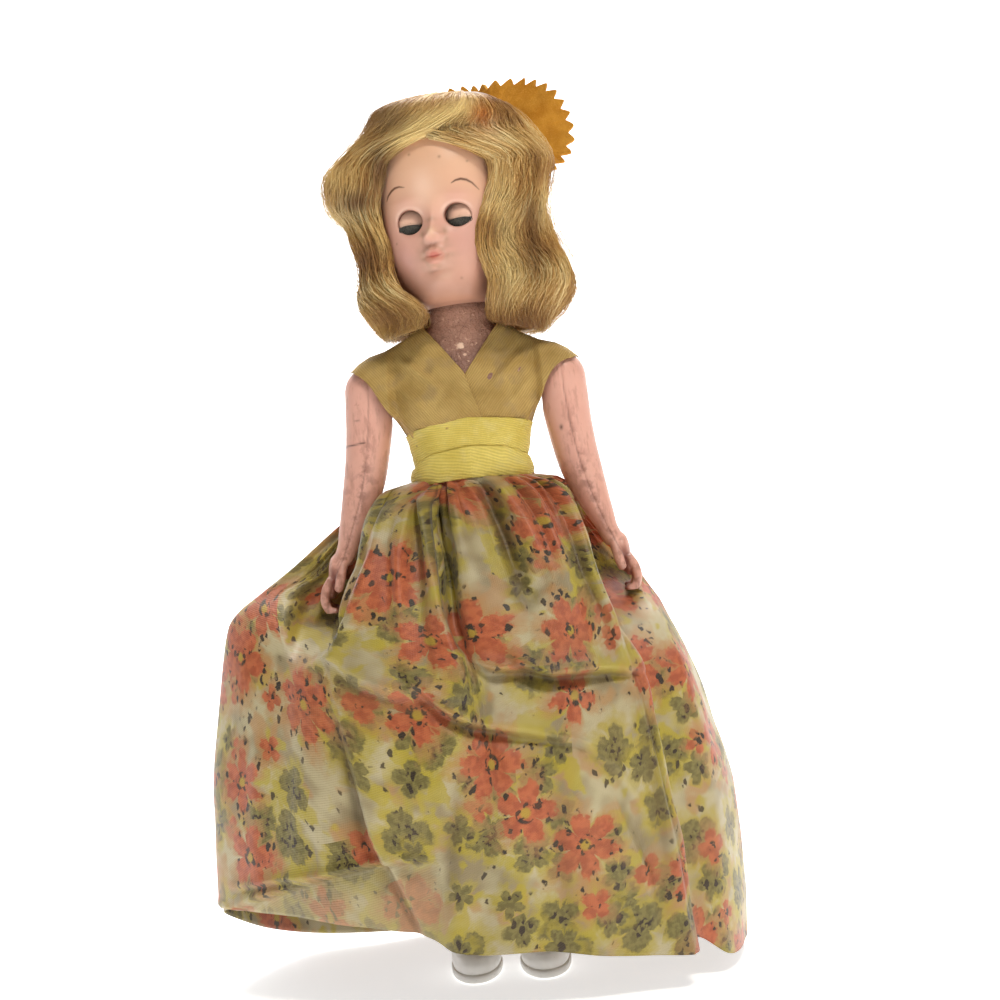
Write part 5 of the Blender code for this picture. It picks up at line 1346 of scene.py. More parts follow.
def make_arm(side):
    name = "right" if side < 0 else "left"
    z = np.concatenate([136.62 - 0.02 * np.arange(3), np.linspace(136.4, 92.6, 90)])
    rows = [eased(ARM_ROWS[:, 0], ARM_ROWS[:, k], z) for k in (1, 2, 3, 4)]
    rows[1][:3], rows[3][:3] = (0.5, 1.0, 1.4), (0.5, 1.0, 1.4)
    n = 40
    t = np.linspace(0, 2 * np.pi, n + 1)[:-1]
    hand_in = smooth(95.5, 92.0, z)
    x = rows[0][:, None] + rows[1][:, None] * (1 - 0.12 * hand_in[:, None]) * np.sin(t)
    y = rows[2][:, None] - rows[3][:, None] * np.cos(t)
    v = np.stack([x, y, np.broadcast_to(z[:, None], x.shape)], -1).reshape(-1, 3)
    f = [tuple(q) for q in grid_faces(len(z), n, True)] + [tuple(range(n)), tuple(range((len(z) - 1) * n, len(z) * n))]
    parts = [(v, f)]
    # palm, fingers curled in, and the thumb in front
    parts.append(ball((32.2, -1.2, 90.8), 1.75, 3.7, 4.4))
    parts.append(ball((33.5, -1.2, 88.0), 1.5, 3.9, 2.6))
    fingers = [(-4.35, 1.12, 0.0), (-2.15, 1.18, -0.35), (0.1, 1.14, -0.2), (2.15, 1.0, 0.5)]
    for fy, fr, up in fingers:
        pts = [(33.2, fy * 0.9, 89.6), (34.5, fy, 87.6 + up), (35.0, fy * 1.02 - 0.1, 85.4 + up), (34.6, fy - 0.25, 83.7 + up), (33.6, fy - 0.4, 82.75 + up), (32.5, fy - 0.45, 82.7 + up)]
        q = np.array([[float(eased(np.arange(6), [p[c] for p in pts], w)) for c in range(3)] for w in np.linspace(0, 5, 16)])
        parts.append(tube(q, fr * np.linspace(1.0, 0.82, 16), 12))
    thumb = [(30.6, -2.2, 94.2), (30.6, -4.0, 92.4), (30.9, -5.2, 90.4), (31.3, -5.7, 88.6), (31.8, -5.6, 87.3)]
    q = np.array([[float(eased(np.arange(5), [p[c] for p in thumb], w)) for c in range(3)] for w in np.linspace(0, 4, 14)])
    parts.append(tube(q, np.linspace(1.35, 1.0, 14), 12))
    v, f = remeshed(parts, 0.30, 3)
    # cut flat against the shoulder
    v[:, 0] = np.where(v[:, 2] > 99, np.maximum(v[:, 0], 16.98), v[:, 0])
    mid = arm_middle(v[:, 2])
    off = v[:, 0] - mid
    front = v[:, 1] < 0
    depth_here = np.exp(-((off / 0.22) ** 2)) * (np.abs(v[:, 1]) > 1.2) * (v[:, 2] > 84)
    centre = np.stack([mid, 0 * mid - 0.5, v[:, 2]], -1)
    to_middle = centre - v
    to_middle /= np.linalg.norm(to_middle, axis=1)[:, None] + 1e-9
    v = v + to_middle * (0.20 * depth_here)[:, None]
    v[:, 2] = np.where(v[:, 2] < 82.3, 82.3, v[:, 2])
    grime = np.clip(np.exp(-((off / 1.1) ** 2)) * front * smooth(124, 116, v[:, 2]) + 0.45 * np.exp(-(((v[:, 2] - 110) / 5) ** 2)) * front + 0.5 * smooth(98, 93, v[:, 2]), 0, 1)
    seam = np.exp(-((off / 0.16) ** 2)) * (np.abs(v[:, 1]) > 1.0)
    mark = 0.5 * seam * smooth(136, 128, v[:, 2]) * (0.6 + 0.4 * lumps(v, 2.0, 4))
    if side < 0:
        crack, _, _ = near_line(v[:, 0], v[:, 2], [(18.6 + 0, 0), (19.0, 0.1)])
        line_z = 119.4 - 0.12 * (v[:, 0] - 25.0)
        mark = np.maximum(mark, 0.85 * np.exp(-(((v[:, 2] - line_z) / 0.16) ** 2)) * smooth(22.9, 23.4, v[:, 0]) * front)
        mark = np.maximum(mark, 0.5 * np.exp(-(((v[:, 2] - 124.6) / 0.18) ** 2) - (((v[:, 0] - 24.6) / 0.6) ** 2)) * front)
    else:
        mark = np.maximum(mark, 0.85 * np.exp(-(((v[:, 2] - 119.6) / 0.55) ** 2) - (((v[:, 0] - 20.6) / 0.35) ** 2)) * front)
    # palm side and between the fingers: painted shade in the cupped hand
    palm = smooth(34.2, 32.4, v[:, 0]) * smooth(93.5, 90.5, v[:, 2]) * smooth(-6.4, -4.6, v[:, 1])
    shade = 0.85 * palm
    v[:, 0] *= side
    cut = v[f].mean(1)
    outer = np.abs(cut[:, 0]) > arm_middle(cut[:, 2])
    for part, take in (("outer", outer), ("inner", ~outer)):
        q = f[take]
        used, inv = np.unique(q, return_inverse=True)
        o = build(f"arm_{name}_{part}", v[used], inv.reshape(q.shape)[:, ::(-1 if side < 0 else 1)], ARM, values={"grime": grime[used], "mark": mark[used], "shade": shade[used]})
        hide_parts(f"arm_{name}_{part}_half")
        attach(o, f"arm_{name}")


# ---- bodice and cap sleeves -------------------------------------------------------
SHOULDER_LINE = [(8.9, 144.9), (13.0, 142.0), (17.4, 139.9), (21.0, 138.9), (23.5, 137.5), (25.5, 135.7), (27.0, 134.0)]
# outer edge of a panel: up the side seam, round the sleeve's hem, to the sleeve's tip
OUTER_EDGE = {
    -1: [(12.7, 112.0), (13.1, 118.0), (14.7, 121.6), (16.1, 124.0), (17.4, 125.7), (19.1, 128.4), (20.8, 131.5), (23.2, 134.3), (25.5, 135.7)],
    1: [(12.7, 112.0), (13.1, 118.0), (14.4, 121.6), (15.6, 124.6), (17.2, 128.2), (18.9, 131.4), (20.9, 133.6), (23.6, 134.9), (25.9, 135.2)],
}


def cloth_depth(x, z, back, grow):
    """How far the bodice stands from the middle plane, in front or behind."""
    x = np.abs(x)
    top = np.interp(x, [0, 4.0, 8.9] + [p[0] for p in SHOULDER_LINE[1:]], [147.5, 146.8, 144.9] + [p[1] for p in SHOULDER_LINE[1:]])
    a, f, b = torso_rows(np.minimum(z, 131.0))
    d = b if back else f
    inside = np.clip(1 - (x / (a + grow + 0.25)) ** 2.2, 0, 1) ** (1 / 2.2)
    body = (d + grow) * inside
    # over the upper arm
    cap = (6.5 if back else 6.35) + grow - 0.05 * (x - 17)
    over_arm = smooth(13.0, 17.5, x) * smooth(118.0, 125.5, z)
    flat = (body**4 + (cap * over_arm) ** 4 + 1e-9) ** 0.25
    if back:
        fz = np.interp(z, [128, 135, 138, 141, 146], [1.0, 0.95, 0.90, 0.84, 0.80])
    else:
        fz = np.interp(z, [127, 131, 135, 138, 141, 146], [1.0, 0.955, 0.84, 0.76, 0.71, 0.69])
    fz = lerp(fz, 1.0, smooth(12, 18, x))
    z0 = lerp(136.5, 129.0, smooth(8, 16, x))
    t = np.clip((z - z0) / np.maximum(top - z0, 0.5), 0, 1)
    rounding = np.clip(1 - t**2.3, 0, 1) ** (1 / 2.3)
    return np.maximum(flat * fz * rounding, 0.0), top


def panel(side, back, split):
    """Grid of a bodice panel. split: 0 for the part on the torso, 1 for the sleeve."""
    rows, cols = 150, 90
    s = np.linspace(0, 1, rows)
    out = OUTER_EDGE[side]
    lens = np.concatenate([[0], np.cumsum([math.dist(p, q) for p, q in zip(out, out[1:])])])
    lens /= lens[-1]
    xo, zo = eased(lens, [p[0] for p in out], s), eased(lens, [p[1] for p in out], s)
    if back:
        inn = [(0.12, 112.0), (0.12, 126.0), (0.12, 140.6), (4.2, 141.0), (7.4, 142.4), (8.9, 144.9)]
        marks = [0, 0.42, 0.84, 0.90, 0.95, 1.0]
    elif side < 0:
        inn = [(-6.3, 112.0), (-3.2, 123.0), (0.0, 133.3), (4.4, 139.1), (8.9, 144.9)]
        marks = [0, 0.32, 0.62, 0.81, 1.0]
    else:
        inn = [(-4.6, 112.0), (-2.6, 123.0), (0.25, 133.0), (4.6, 139.0), (8.9, 144.9)]
        marks = [0, 0.32, 0.62, 0.81, 1.0]
    xi = np.interp(s, marks, [p[0] for p in inn])
    zi = np.interp(s, marks, [p[1] for p in inn])
    xs = np.minimum(xo, 15.2)
    w = np.linspace(0, 1, cols)
    if split == 0:
        w = 1 - (1 - w) ** 1.5
        x = xi[:, None] + (xs - xi)[:, None] * w
        frac = (x - xi[:, None]) / (xo - xi)[:, None]
    else:
        keep = xo > 15.25
        xs, xi, xo, zi, zo, s = xs[keep], xi[keep], xo[keep], zi[keep], zo[keep], s[keep]
        x = xs[:, None] + (xo - xs)[:, None] * w
        frac = (x - xi[:, None]) / (xo - xi)[:, None]
    z = zi[:, None] + (zo - zi)[:, None] * frac
    grow = 0.95 if not back and side < 0 else 0.62
    d, top = cloth_depth(x, z, back, grow)
    # the last row runs along the shoulder seam
    close = smooth(0.955, 1.0, s)[:, None]
    z = z * (1 - close) + np.minimum(top, z + 2.0) * close
    d, top = cloth_depth(x, z, back, grow)
    d = d * np.sqrt(np.clip(1 - close**2, 0, 1))
    # the side seam closes below the arm
    side_close = smooth(126.5, 122.5, z) * smooth(0.93, 1.0, frac)
    d = d * (1 - side_close) + 0.0
    # folds: pulls from the shoulder and underarm towards the crossing, and soft dents
    q = np.stack([x, z, 0 * x], -1)
    pulls = 0.0
    if not back:
        for (ax, az), (bx, bz), h, wd in (
            ((15.5, 138.6), (8.0, 131.5), 0.40, 1.0), ((17.0, 133.0), (8.5, 124.5), 0.38, 1.2),
            ((16.0, 127.0), (10.5, 116.0), 0.35, 1.0), ((13.0, 137.5), (4.0, 128.0), 0.22, 0.9),
            ((14.0, 122.0), (12.0, 114.0), 0.3, 0.8),
        ):
            dist, al, _ = near_line(x, z, [(ax, az), (bx, bz)])
            pulls = pulls + h * np.exp(-((dist / wd) ** 2)) * np.sin(np.pi * np.clip(al, 0.02, 0.98)) - 0.6 * h * np.exp(-(((dist - 1.7 * wd) / wd) ** 2)) * np.sin(np.pi * np.clip(al, 0.02, 0.98))
    pulls = pulls * 1.7
    soft = 0.34 * lumps(q, 3.2, 6 + side) + 0.12 * lumps(q, 1.5, 9)
    live = np.clip(d / 2.0, 0, 1)
    d = d + (pulls + soft) * live * (1 - 0.7 * close)
    y = d if back else -d
    p = np.stack([side * x, y, z], -1)
    ang = math.radians(52 if side > 0 else -52) * (0 if back else 1)
    u = (x * side) * math.cos(ang) + (z - 125) * math.sin(ang)
    v = -(x * side) * math.sin(ang) + (z - 125) * math.cos(ang)
    flip = (side > 0) == back
    return p, np.stack([u, v], -1), flip


def make_bodice():
    for side, name in ((-1, "right"), (1, "left")):
        for back, where in ((False, "front"), (True, "back")):
            p, uv, flip = panel(side, back, 0)
            o = build(f"bodice_{where}_panel_{name}", p.reshape(-1, 3), grid_faces(*p.shape[:2], flip=flip), OLIVE, uv=grid_uv(uv[..., 0], uv[..., 1], flip=flip))
            thicken(o, 0.28)
            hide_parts(f"bodice_{where}_{name}")
            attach(o, "torso")
        pieces = []
        for back in (False, True):
            p, uv, flip = panel(side, back, 1)
            pieces.append(build(f"cap_sleeve_{name}_{'back' if back else 'front'}", p.reshape(-1, 3), grid_faces(*p.shape[:2], flip=flip), OLIVE, uv=grid_uv(uv[..., 0], uv[..., 1], flip=flip)))
        for o, where in zip(pieces, ("front", "back")):
            thicken(o, 0.28)
            if where == "front":
                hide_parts(f"sleeve_{name}")
            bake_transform(o)


# ---- sash -------------------------------------------------------------------------------
def make_sash():
    n = 260
    t = np.linspace(0, 2 * np.pi, n + 1)[:-1]
    deg = np.degrees(t)
    wrap = lambda xs, ys: np.interp(deg, xs, ys)
    top = wrap([0, 50, 90, 180, 270, 310, 360], [123.2, 122.2, 121.2, 121.6, 120.0, 121.4, 123.2])
    low = wrap([0, 50, 90, 180, 270, 310, 360], [109.9, 109.4, 109.2, 109.6, 109.2, 109.0, 109.9])
    fold = wrap([0, 30, 75, 110, 180, 250, 285, 320, 360], [116.6, 116.0, 113.6, 113.0, 113.4, 112.6, 112.6, 115.2, 116.6])
    rows = []
    def row(frac_from, frac_to, w, off):
        z = frac_from + (frac_to - frac_from) * w
        a, f, b = torso_rows(z)
        sag = 0.16 * lumps(np.stack([np.cos(t) * 9, np.sin(t) * 9, z * 0.8], -1), 2.6, 3) + 0.10 * lumps(np.stack([np.cos(t) * 9, np.sin(t) * 9, z * 2.5], -1), 1.4, 5)
        g = off + sag
        x, y = oval(t, a + g, a + g, f + g, b + g, 2.15)
        rows.append(np.stack([x, y, z], -1))
    for w in np.linspace(0, 1, 22):       # lower band, bulging
        row(low, fold + 0.35, w, 1.5 + 0.95 * math.sin(math.pi * min(1, 0.12 + w * 0.80)) ** 0.7)
    for w in np.linspace(0, 1, 6)[1:]:     # its top edge rolls in
        row(fold + 0.35, fold + 0.1, w, 1.85 - 0.55 * w)
    for w in np.linspace(0, 1, 6)[1:]:
        row(fold + 0.1, fold - 0.9, w, 1.3 - 0.1 * w)
    for w in np.linspace(0, 1, 5)[1:]:
        row(fold - 0.9, fold - 0.9, w, 1.2 - 0.2 * w)
    for w in np.linspace(0, 1, 26)[1:]:
        row(fold - 0.9, top, w, 1.0 + 0.45 * math.sin(math.pi * w) ** 0.6 + 0.15 * math.sin(2 * math.pi * w))
    g = np.stack(rows)
    p = g.reshape(-1, 3)
    closed = np.concatenate([g, g[:, :1]], 1)
    seg = np.linalg.norm(np.diff(closed, axis=1), axis=2)
    u = np.concatenate([np.zeros((len(g), 1)), np.cumsum(seg.mean(0))[None] + np.zeros((len(g), 1))], 1)
    v = np.concatenate([[0], np.cumsum(np.linalg.norm(np.diff(g, axis=0), axis=2).mean(1))])[:, None] + np.zeros_like(u)
    v = v + 2.2 * np.sin(u / 12.0)
    o = build("folded_sash", p, grid_faces(len(g), n, True), YELLOW, uv=grid_uv(u, v, True))
    area = area_of(o)
    thicken(o, 0.28)
    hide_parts("sash")
    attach(o, "torso")


# ---- skirt -------------------------------------------------------------------------------
# fold lines from the waist to the hem, in order round the doll from its front to its left:
# each is a list of (height, x, y), and the height of the hem below it
FOLDS = [
    ("pleat_valley", [(110.2, -9.3, -9.8), (101.4, -7.3, -13.0), (90.3, -6.6, -18.5), (79.7, -5.6, -24.5), (73.5, -4.2, -29.5), (69.4, -2.4, -32.6), (59.2, -1.5, -35.5), (42.9, -2.6, -38), (8, -5.9, -40)], 11.3),
    ("pleat_left_lip", [(110.0, -8.0, -11.6), (104.3, -5.9, -17.2), (92.4, -4.4, -24.2), (81.8, -2.9, -28.8), (73.4, -0.8, -31.6), (65.1, 0.9, -34.4), (54.9, 1.7, -37), (42.8, 1.6, -39.5), (8, -0.4, -42)], 11.5),
    ("crease", [(110.0, -2.0, -11.0), (106.0, 1.0, -13.2), (102.3, 3.1, -15.2), (95.5, 5.2, -19.6), (87.2, 8.2, -25.6), (78.8, 10.0, -30.6), (66.5, 10.2, -34.6), (54.3, 10.0, -37.2), (42.1, 10.0, -39), (8, 8.4, -41)], 11.2),
    ("front_ridge", [(109.3, 6.1, -12.2), (104.2, 10.0, -17.2), (95.3, 13.6, -22.6), (86.6, 16.2, -27.2), (78.2, 17.3, -31), (65.8, 18.3, -34.5), (53.6, 18.6, -37.5), (41.3, 19.2, -39), (6, 18.6, -41)], 9.4),
    ("front_mid", [(109.0, 11.0, -10.6), (103.6, 15.4, -15.2), (97.0, 17.6, -19.4), (87.0, 20.9, -24.6), (78.0, 23.0, -28.2), (66.5, 25.8, -31.6), (55.0, 27.2, -34.3), (44, 28.4, -35.8), (28, 29.4, -37.0), (6, 29.8, -37.8)], 8.0),
    ("edge_ridge", [(108.6, 14.6, -9.2), (103.1, 19.6, -13.2), (99.6, 21.0, -15.6), (87.1, 25.4, -22.2), (77.8, 28.4, -26.2), (67.6, 32.6, -29.2), (56.9, 34.9, -31.6), (47.1, 36.3, -33.0), (30.1, 38.2, -34.0), (17.4, 39.2, -34.5), (6, 39.7, -35)], 7.2),
    ("edge_valley", [(108.6, 15.6, -6.4), (104.4, 19.6, -4.6), (99.4, 21.6, -0.6), (94.0, 23.0, 2.6), (89.8, 24.4, 2.8), (85.0, 26.6, 0.4), (81.5, 27.9, -5.0), (77.5, 29.2, -12.0), (72.5, 31.0, -17.6), (67.8, 32.6, -21.0), (55.9, 35.2, -23.8), (45.9, 36.9, -25.2), (28.7, 38.8, -26.4), (15.7, 40.1, -27), (6, 40.7, -27.5)], 8.8),
    ("side_ridge", [(108.7, 16.8, -4.0), (103.8, 21.0, 1.6), (99.0, 23.4, 5.0), (94.0, 26.2, 6.0), (88.1, 30.6, 5.6), (84.0, 33.4, 3.2), (80.5, 35.8, -2.6), (77.0, 37.8, -9.6), (72.0, 39.9, -14.8), (66.9, 41.7, -18.0), (54.9, 44.3, -20.2), (44.8, 45.7, -21.4), (27.4, 46.8, -22.4), (14.3, 47.2, -22.8), (3, 46.8, -23)], 3.9),
    ("side_edge", [(109.0, 17.8, 0.0), (106.0, 19.8, 3.0), (101.0, 23.8, 6.4), (97.6, 26.2, 7.2), (91.1, 32.9, 7.2), (85.6, 36.4, 5.6), (82.0, 38.2, 2.4), (78.9, 39.9, -1.6), (74.0, 42.2, -4.2), (69.3, 44.1, -5.4), (63.7, 46.0, -5), (52.0, 49.2, -4), (44.7, 51.6, -3), (37.3, 52.9, -2), (25.3, 54.0, -2), (14.3, 53.9, -2), (2, 53.4, -2)], 3.2),
    ("behind_left_arm", [(109.4, 17.4, 3.8), (105.0, 20.4, 7.2), (98.0, 25.2, 10.2), (91.0, 31.0, 11.0), (85.0, 35.2, 10.2), (78.0, 39.6, 8.6), (69.0, 43.6, 8.0), (56.0, 48.2, 8.4), (42.0, 51.2, 9.0), (2, 52.6, 10.0)], 1.4),
    ("back_1", [(109.6, 16.2, 6.0), (104.0, 19.8, 9.6), (96.0, 25.2, 14.2), (86.0, 32.6, 18.6), (76.0, 37.6, 22.0), (62.0, 41.6, 25.4), (44.0, 44.8, 28.0), (2, 46.4, 29.6)], 1.0),
    ("back_1v", [(109.8, 13.4, 7.4), (104.0, 16.0, 11.4), (96.0, 20.8, 17.0), (86.0, 26.0, 21.8), (76.0, 30.0, 25.8), (62.0, 33.6, 29.6), (44.0, 36.6, 31.8), (2, 38.4, 33.2)], 1.0),
    ("back_2", [(109.9, 10.6, 9.6), (104.0, 12.8, 15.0), (96.0, 16.0, 21.6), (86.0, 20.2, 28.0), (76.0, 23.4, 32.4), (62.0, 26.6, 36.2), (44.0, 29.0, 38.8), (2, 30.6, 40.6)], 1.0),
    ("back_2v", [(109.9, 6.8, 8.6), (104.0, 8.2, 13.4), (96.0, 10.2, 19.6), (86.0, 12.8, 25.4), (76.0, 14.6, 30.2), (62.0, 16.4, 34.6), (44.0, 17.8, 37.6), (2, 18.6, 39.6)], 1.0),
    ("back_3", [(109.9, 2.8, 10.8), (104.0, 3.4, 16.4), (96.0, 4.2, 23.0), (86.0, 5.2, 29.6), (76.0, 5.8, 34.6), (62.0, 6.4, 38.8), (44.0, 6.8, 41.8), (2, 7.0, 43.4)], 1.0),
    ("back_3v", [(109.9, -1.4, 9.2), (104.0, -1.8, 14.2), (96.0, -2.4, 20.6), (86.0, -3.2, 26.6), (76.0, -3.8, 31.6), (62.0, -4.4, 36.0), (44.0, -4.8, 39.2), (2, -5.0, 41.2)], 1.2),
    ("back_4", [(109.9, -5.6, 10.0), (104.0, -7.0, 15.6), (96.0, -9.0, 22.2), (86.0, -11.8, 28.8), (76.0, -14.0, 33.8), (62.0, -16.0, 38.0), (44.0, -17.2, 41.0), (2, -18.0, 42.6)], 1.6),
    ("back_4v", [(109.8, -9.6, 8.4), (104.0, -12.0, 12.8), (96.0, -15.8, 18.2), (86.0, -20.8, 23.8), (76.0, -24.6, 28.4), (62.0, -27.8, 32.6), (44.0, -29.8, 35.6), (3, -31.0, 37.4)], 2.4),
    ("back_5", [(109.6, -12.8, 8.0), (104.0, -16.4, 12.0), (96.0, -22.4, 17.0), (86.0, -31.0, 21.6), (76.0, -37.6, 25.6), (62.0, -42.0, 29.4), (44.0, -44.8, 32.2), (4, -46.4, 33.8)], 4.0),
    ("back_5v", [(109.4, -14.6, 5.8), (104.0, -19.4, 8.8), (96.0, -28.4, 11.8), (86.0, -42.0, 13.0), (76.0, -49.0, 14.6), (62.0, -53.0, 17.0), (44.0, -55.8, 18.8), (6, -57.2, 19.8)], 9.0),
    ("wing_edge", [(109.2, -16.8, 4.4), (105.2, -24.4, 5.6), (100.9, -31.7, 6.6), (92.4, -43.4, 6.8), (87.1, -51.0, 6), (83.7, -55.7, 5), (80.9, -57.9, 4), (69.0, -60.2, 2), (55.8, -62.2, 0), (42.5, -63.6, -1), (29.0, -64.0, -2), (12, -64.3, -3)], 17.9),
    ("wing_face", [(109.1, -17.0, 3.6), (104.6, -23.6, 4.6), (98.3, -31.6, 4.6), (92.0, -38.6, 4.2), (87.6, -46.0, 2.6), (84.0, -51.2, 0.0), (76.0, -54.2, -5.0), (62.0, -55.6, -9.5), (44.0, -57.0, -12.5), (12, -57.6, -14)], 18.9),
    ("wing_corner", [(109.0, -16.9, 3.2), (104.0, -22.6, 4.4), (98.0, -29.6, 4.4), (91.0, -36.2, 3.6), (86.6, -43.4, 0.6), (83.0, -44.2, -3.5), (75.9, -44.4, -9.5), (66.0, -44.6, -17.0), (60.7, -44.6, -19.5), (43.9, -45.0, -23), (12, -46.6, -25.5)], 19.1),
    ("pocket_out", [(108.9, -16.6, 2.6), (103.6, -21.8, 4.2), (98.0, -26.6, 4.6), (91.0, -32.4, 4.6), (86.6, -38.0, 4.6), (82.0, -40.4, 2.4), (78.4, -41.0, -3.0), (75.2, -41.2, -9.0), (72.0, -41.6, -15.6), (66.0, -41.8, -20.0), (58.0, -42.0, -23.0), (44, -42.4, -26), (12, -43.2, -28.5)], 18.9),
    ("pocket_in", [(108.9, -15.8, 0.6), (103.6, -20.0, 0.6), (98.0, -24.2, 1.8), (91.0, -27.8, 3.0), (86.6, -30.2, 3.4), (82.0, -33.4, 1.6), (79.0, -35.4, -5.0), (76.2, -36.8, -12.4), (73.6, -37.8, -18.0), (66.0, -38.6, -22.8), (58.0, -39.0, -25.6), (44, -39.2, -28.6), (12, -39.6, -31)], 18.5),
    ("layer_edge_inner", [(109.2, -15.0, -3.4), (104.6, -19.6, -5.6), (98.0, -23.6, -9.4), (92.0, -26.6, -11.4), (86.6, -28.8, -12.2), (82.0, -30.8, -13.6), (78.0, -33.0, -16.4), (74.6, -34.6, -20.4), (68.0, -35.8, -24.8), (58.0, -36.2, -27.8), (44, -36.6, -30.2), (12, -37.2, -32.4)], 18.2),
    ("layer_edge", [(110.2, -13.2, -6.6), (109.2, -17.6, -8.4), (106.0, -20.9, -11.6), (100.1, -24.0, -15.0), (94.0, -26.6, -17.2), (88.1, -29.9, -18.8), (81.4, -32.3, -20.4), (75.4, -33.0, -23.2), (68.0, -32.6, -27.0), (58.0, -31.8, -30.2), (44, -31.4, -32.6), (12, -31.2, -34.6)], 17.6),
    ("left_mid", [(110.3, -12.2, -9.6), (104.0, -17.0, -15.6), (93.4, -20.0, -21.6), (81.0, -22.6, -26.4), (68, -23.6, -31.0), (56.0, -23.8, -33.8), (44.2, -24.2, -35.4), (10, -24.6, -36.8)], 16.9),
    ("left_hollow", [(110.3, -11.3, -9.4), (104.0, -12.8, -15.6), (93.4, -14.0, -22.4), (81.0, -15.2, -27.6), (68, -15.4, -32.4), (56.0, -15.6, -35.2), (44.2, -16.6, -36.8), (10, -18.2, -38.2)], 15.6),
    ("pleat_right_lip", [(110.2, -10.4, -11.4), (105.7, -9.2, -16.2), (91.3, -8.0, -24.6), (81.8, -7.2, -28.8), (75.4, -5.6, -31.2), (71.7, -4.6, -33.0), (59.5, -7.0, -36.6), (43.5, -9.5, -38.8), (8, -12.1, -41)], 12.6),
]


def arm_clear(x, y, z, room=0.55):
    """Moves points that would lie in a hanging arm to just outside it."""
    zz = np.clip(z, 82.4, 136.0)
    cx, a, cy, d = [eased(ARM_ROWS[:, 0], ARM_ROWS[:, k], zz) for k in (1, 2, 3, 4)]
    s = np.sign(x)
    ex, ey = (np.abs(x) - cx) / (a + room), (y - cy) / (d + room)
    r = np.hypot(ex, ey) + 1e-6
    inside = (r < 1) & (z > 80.5) & (z < 112)
    nx = cx + ex / r * (a + room)
    ny = cy + ey / r * (d + room)
    return np.where(inside, s * nx, x), np.where(inside, ny, y)


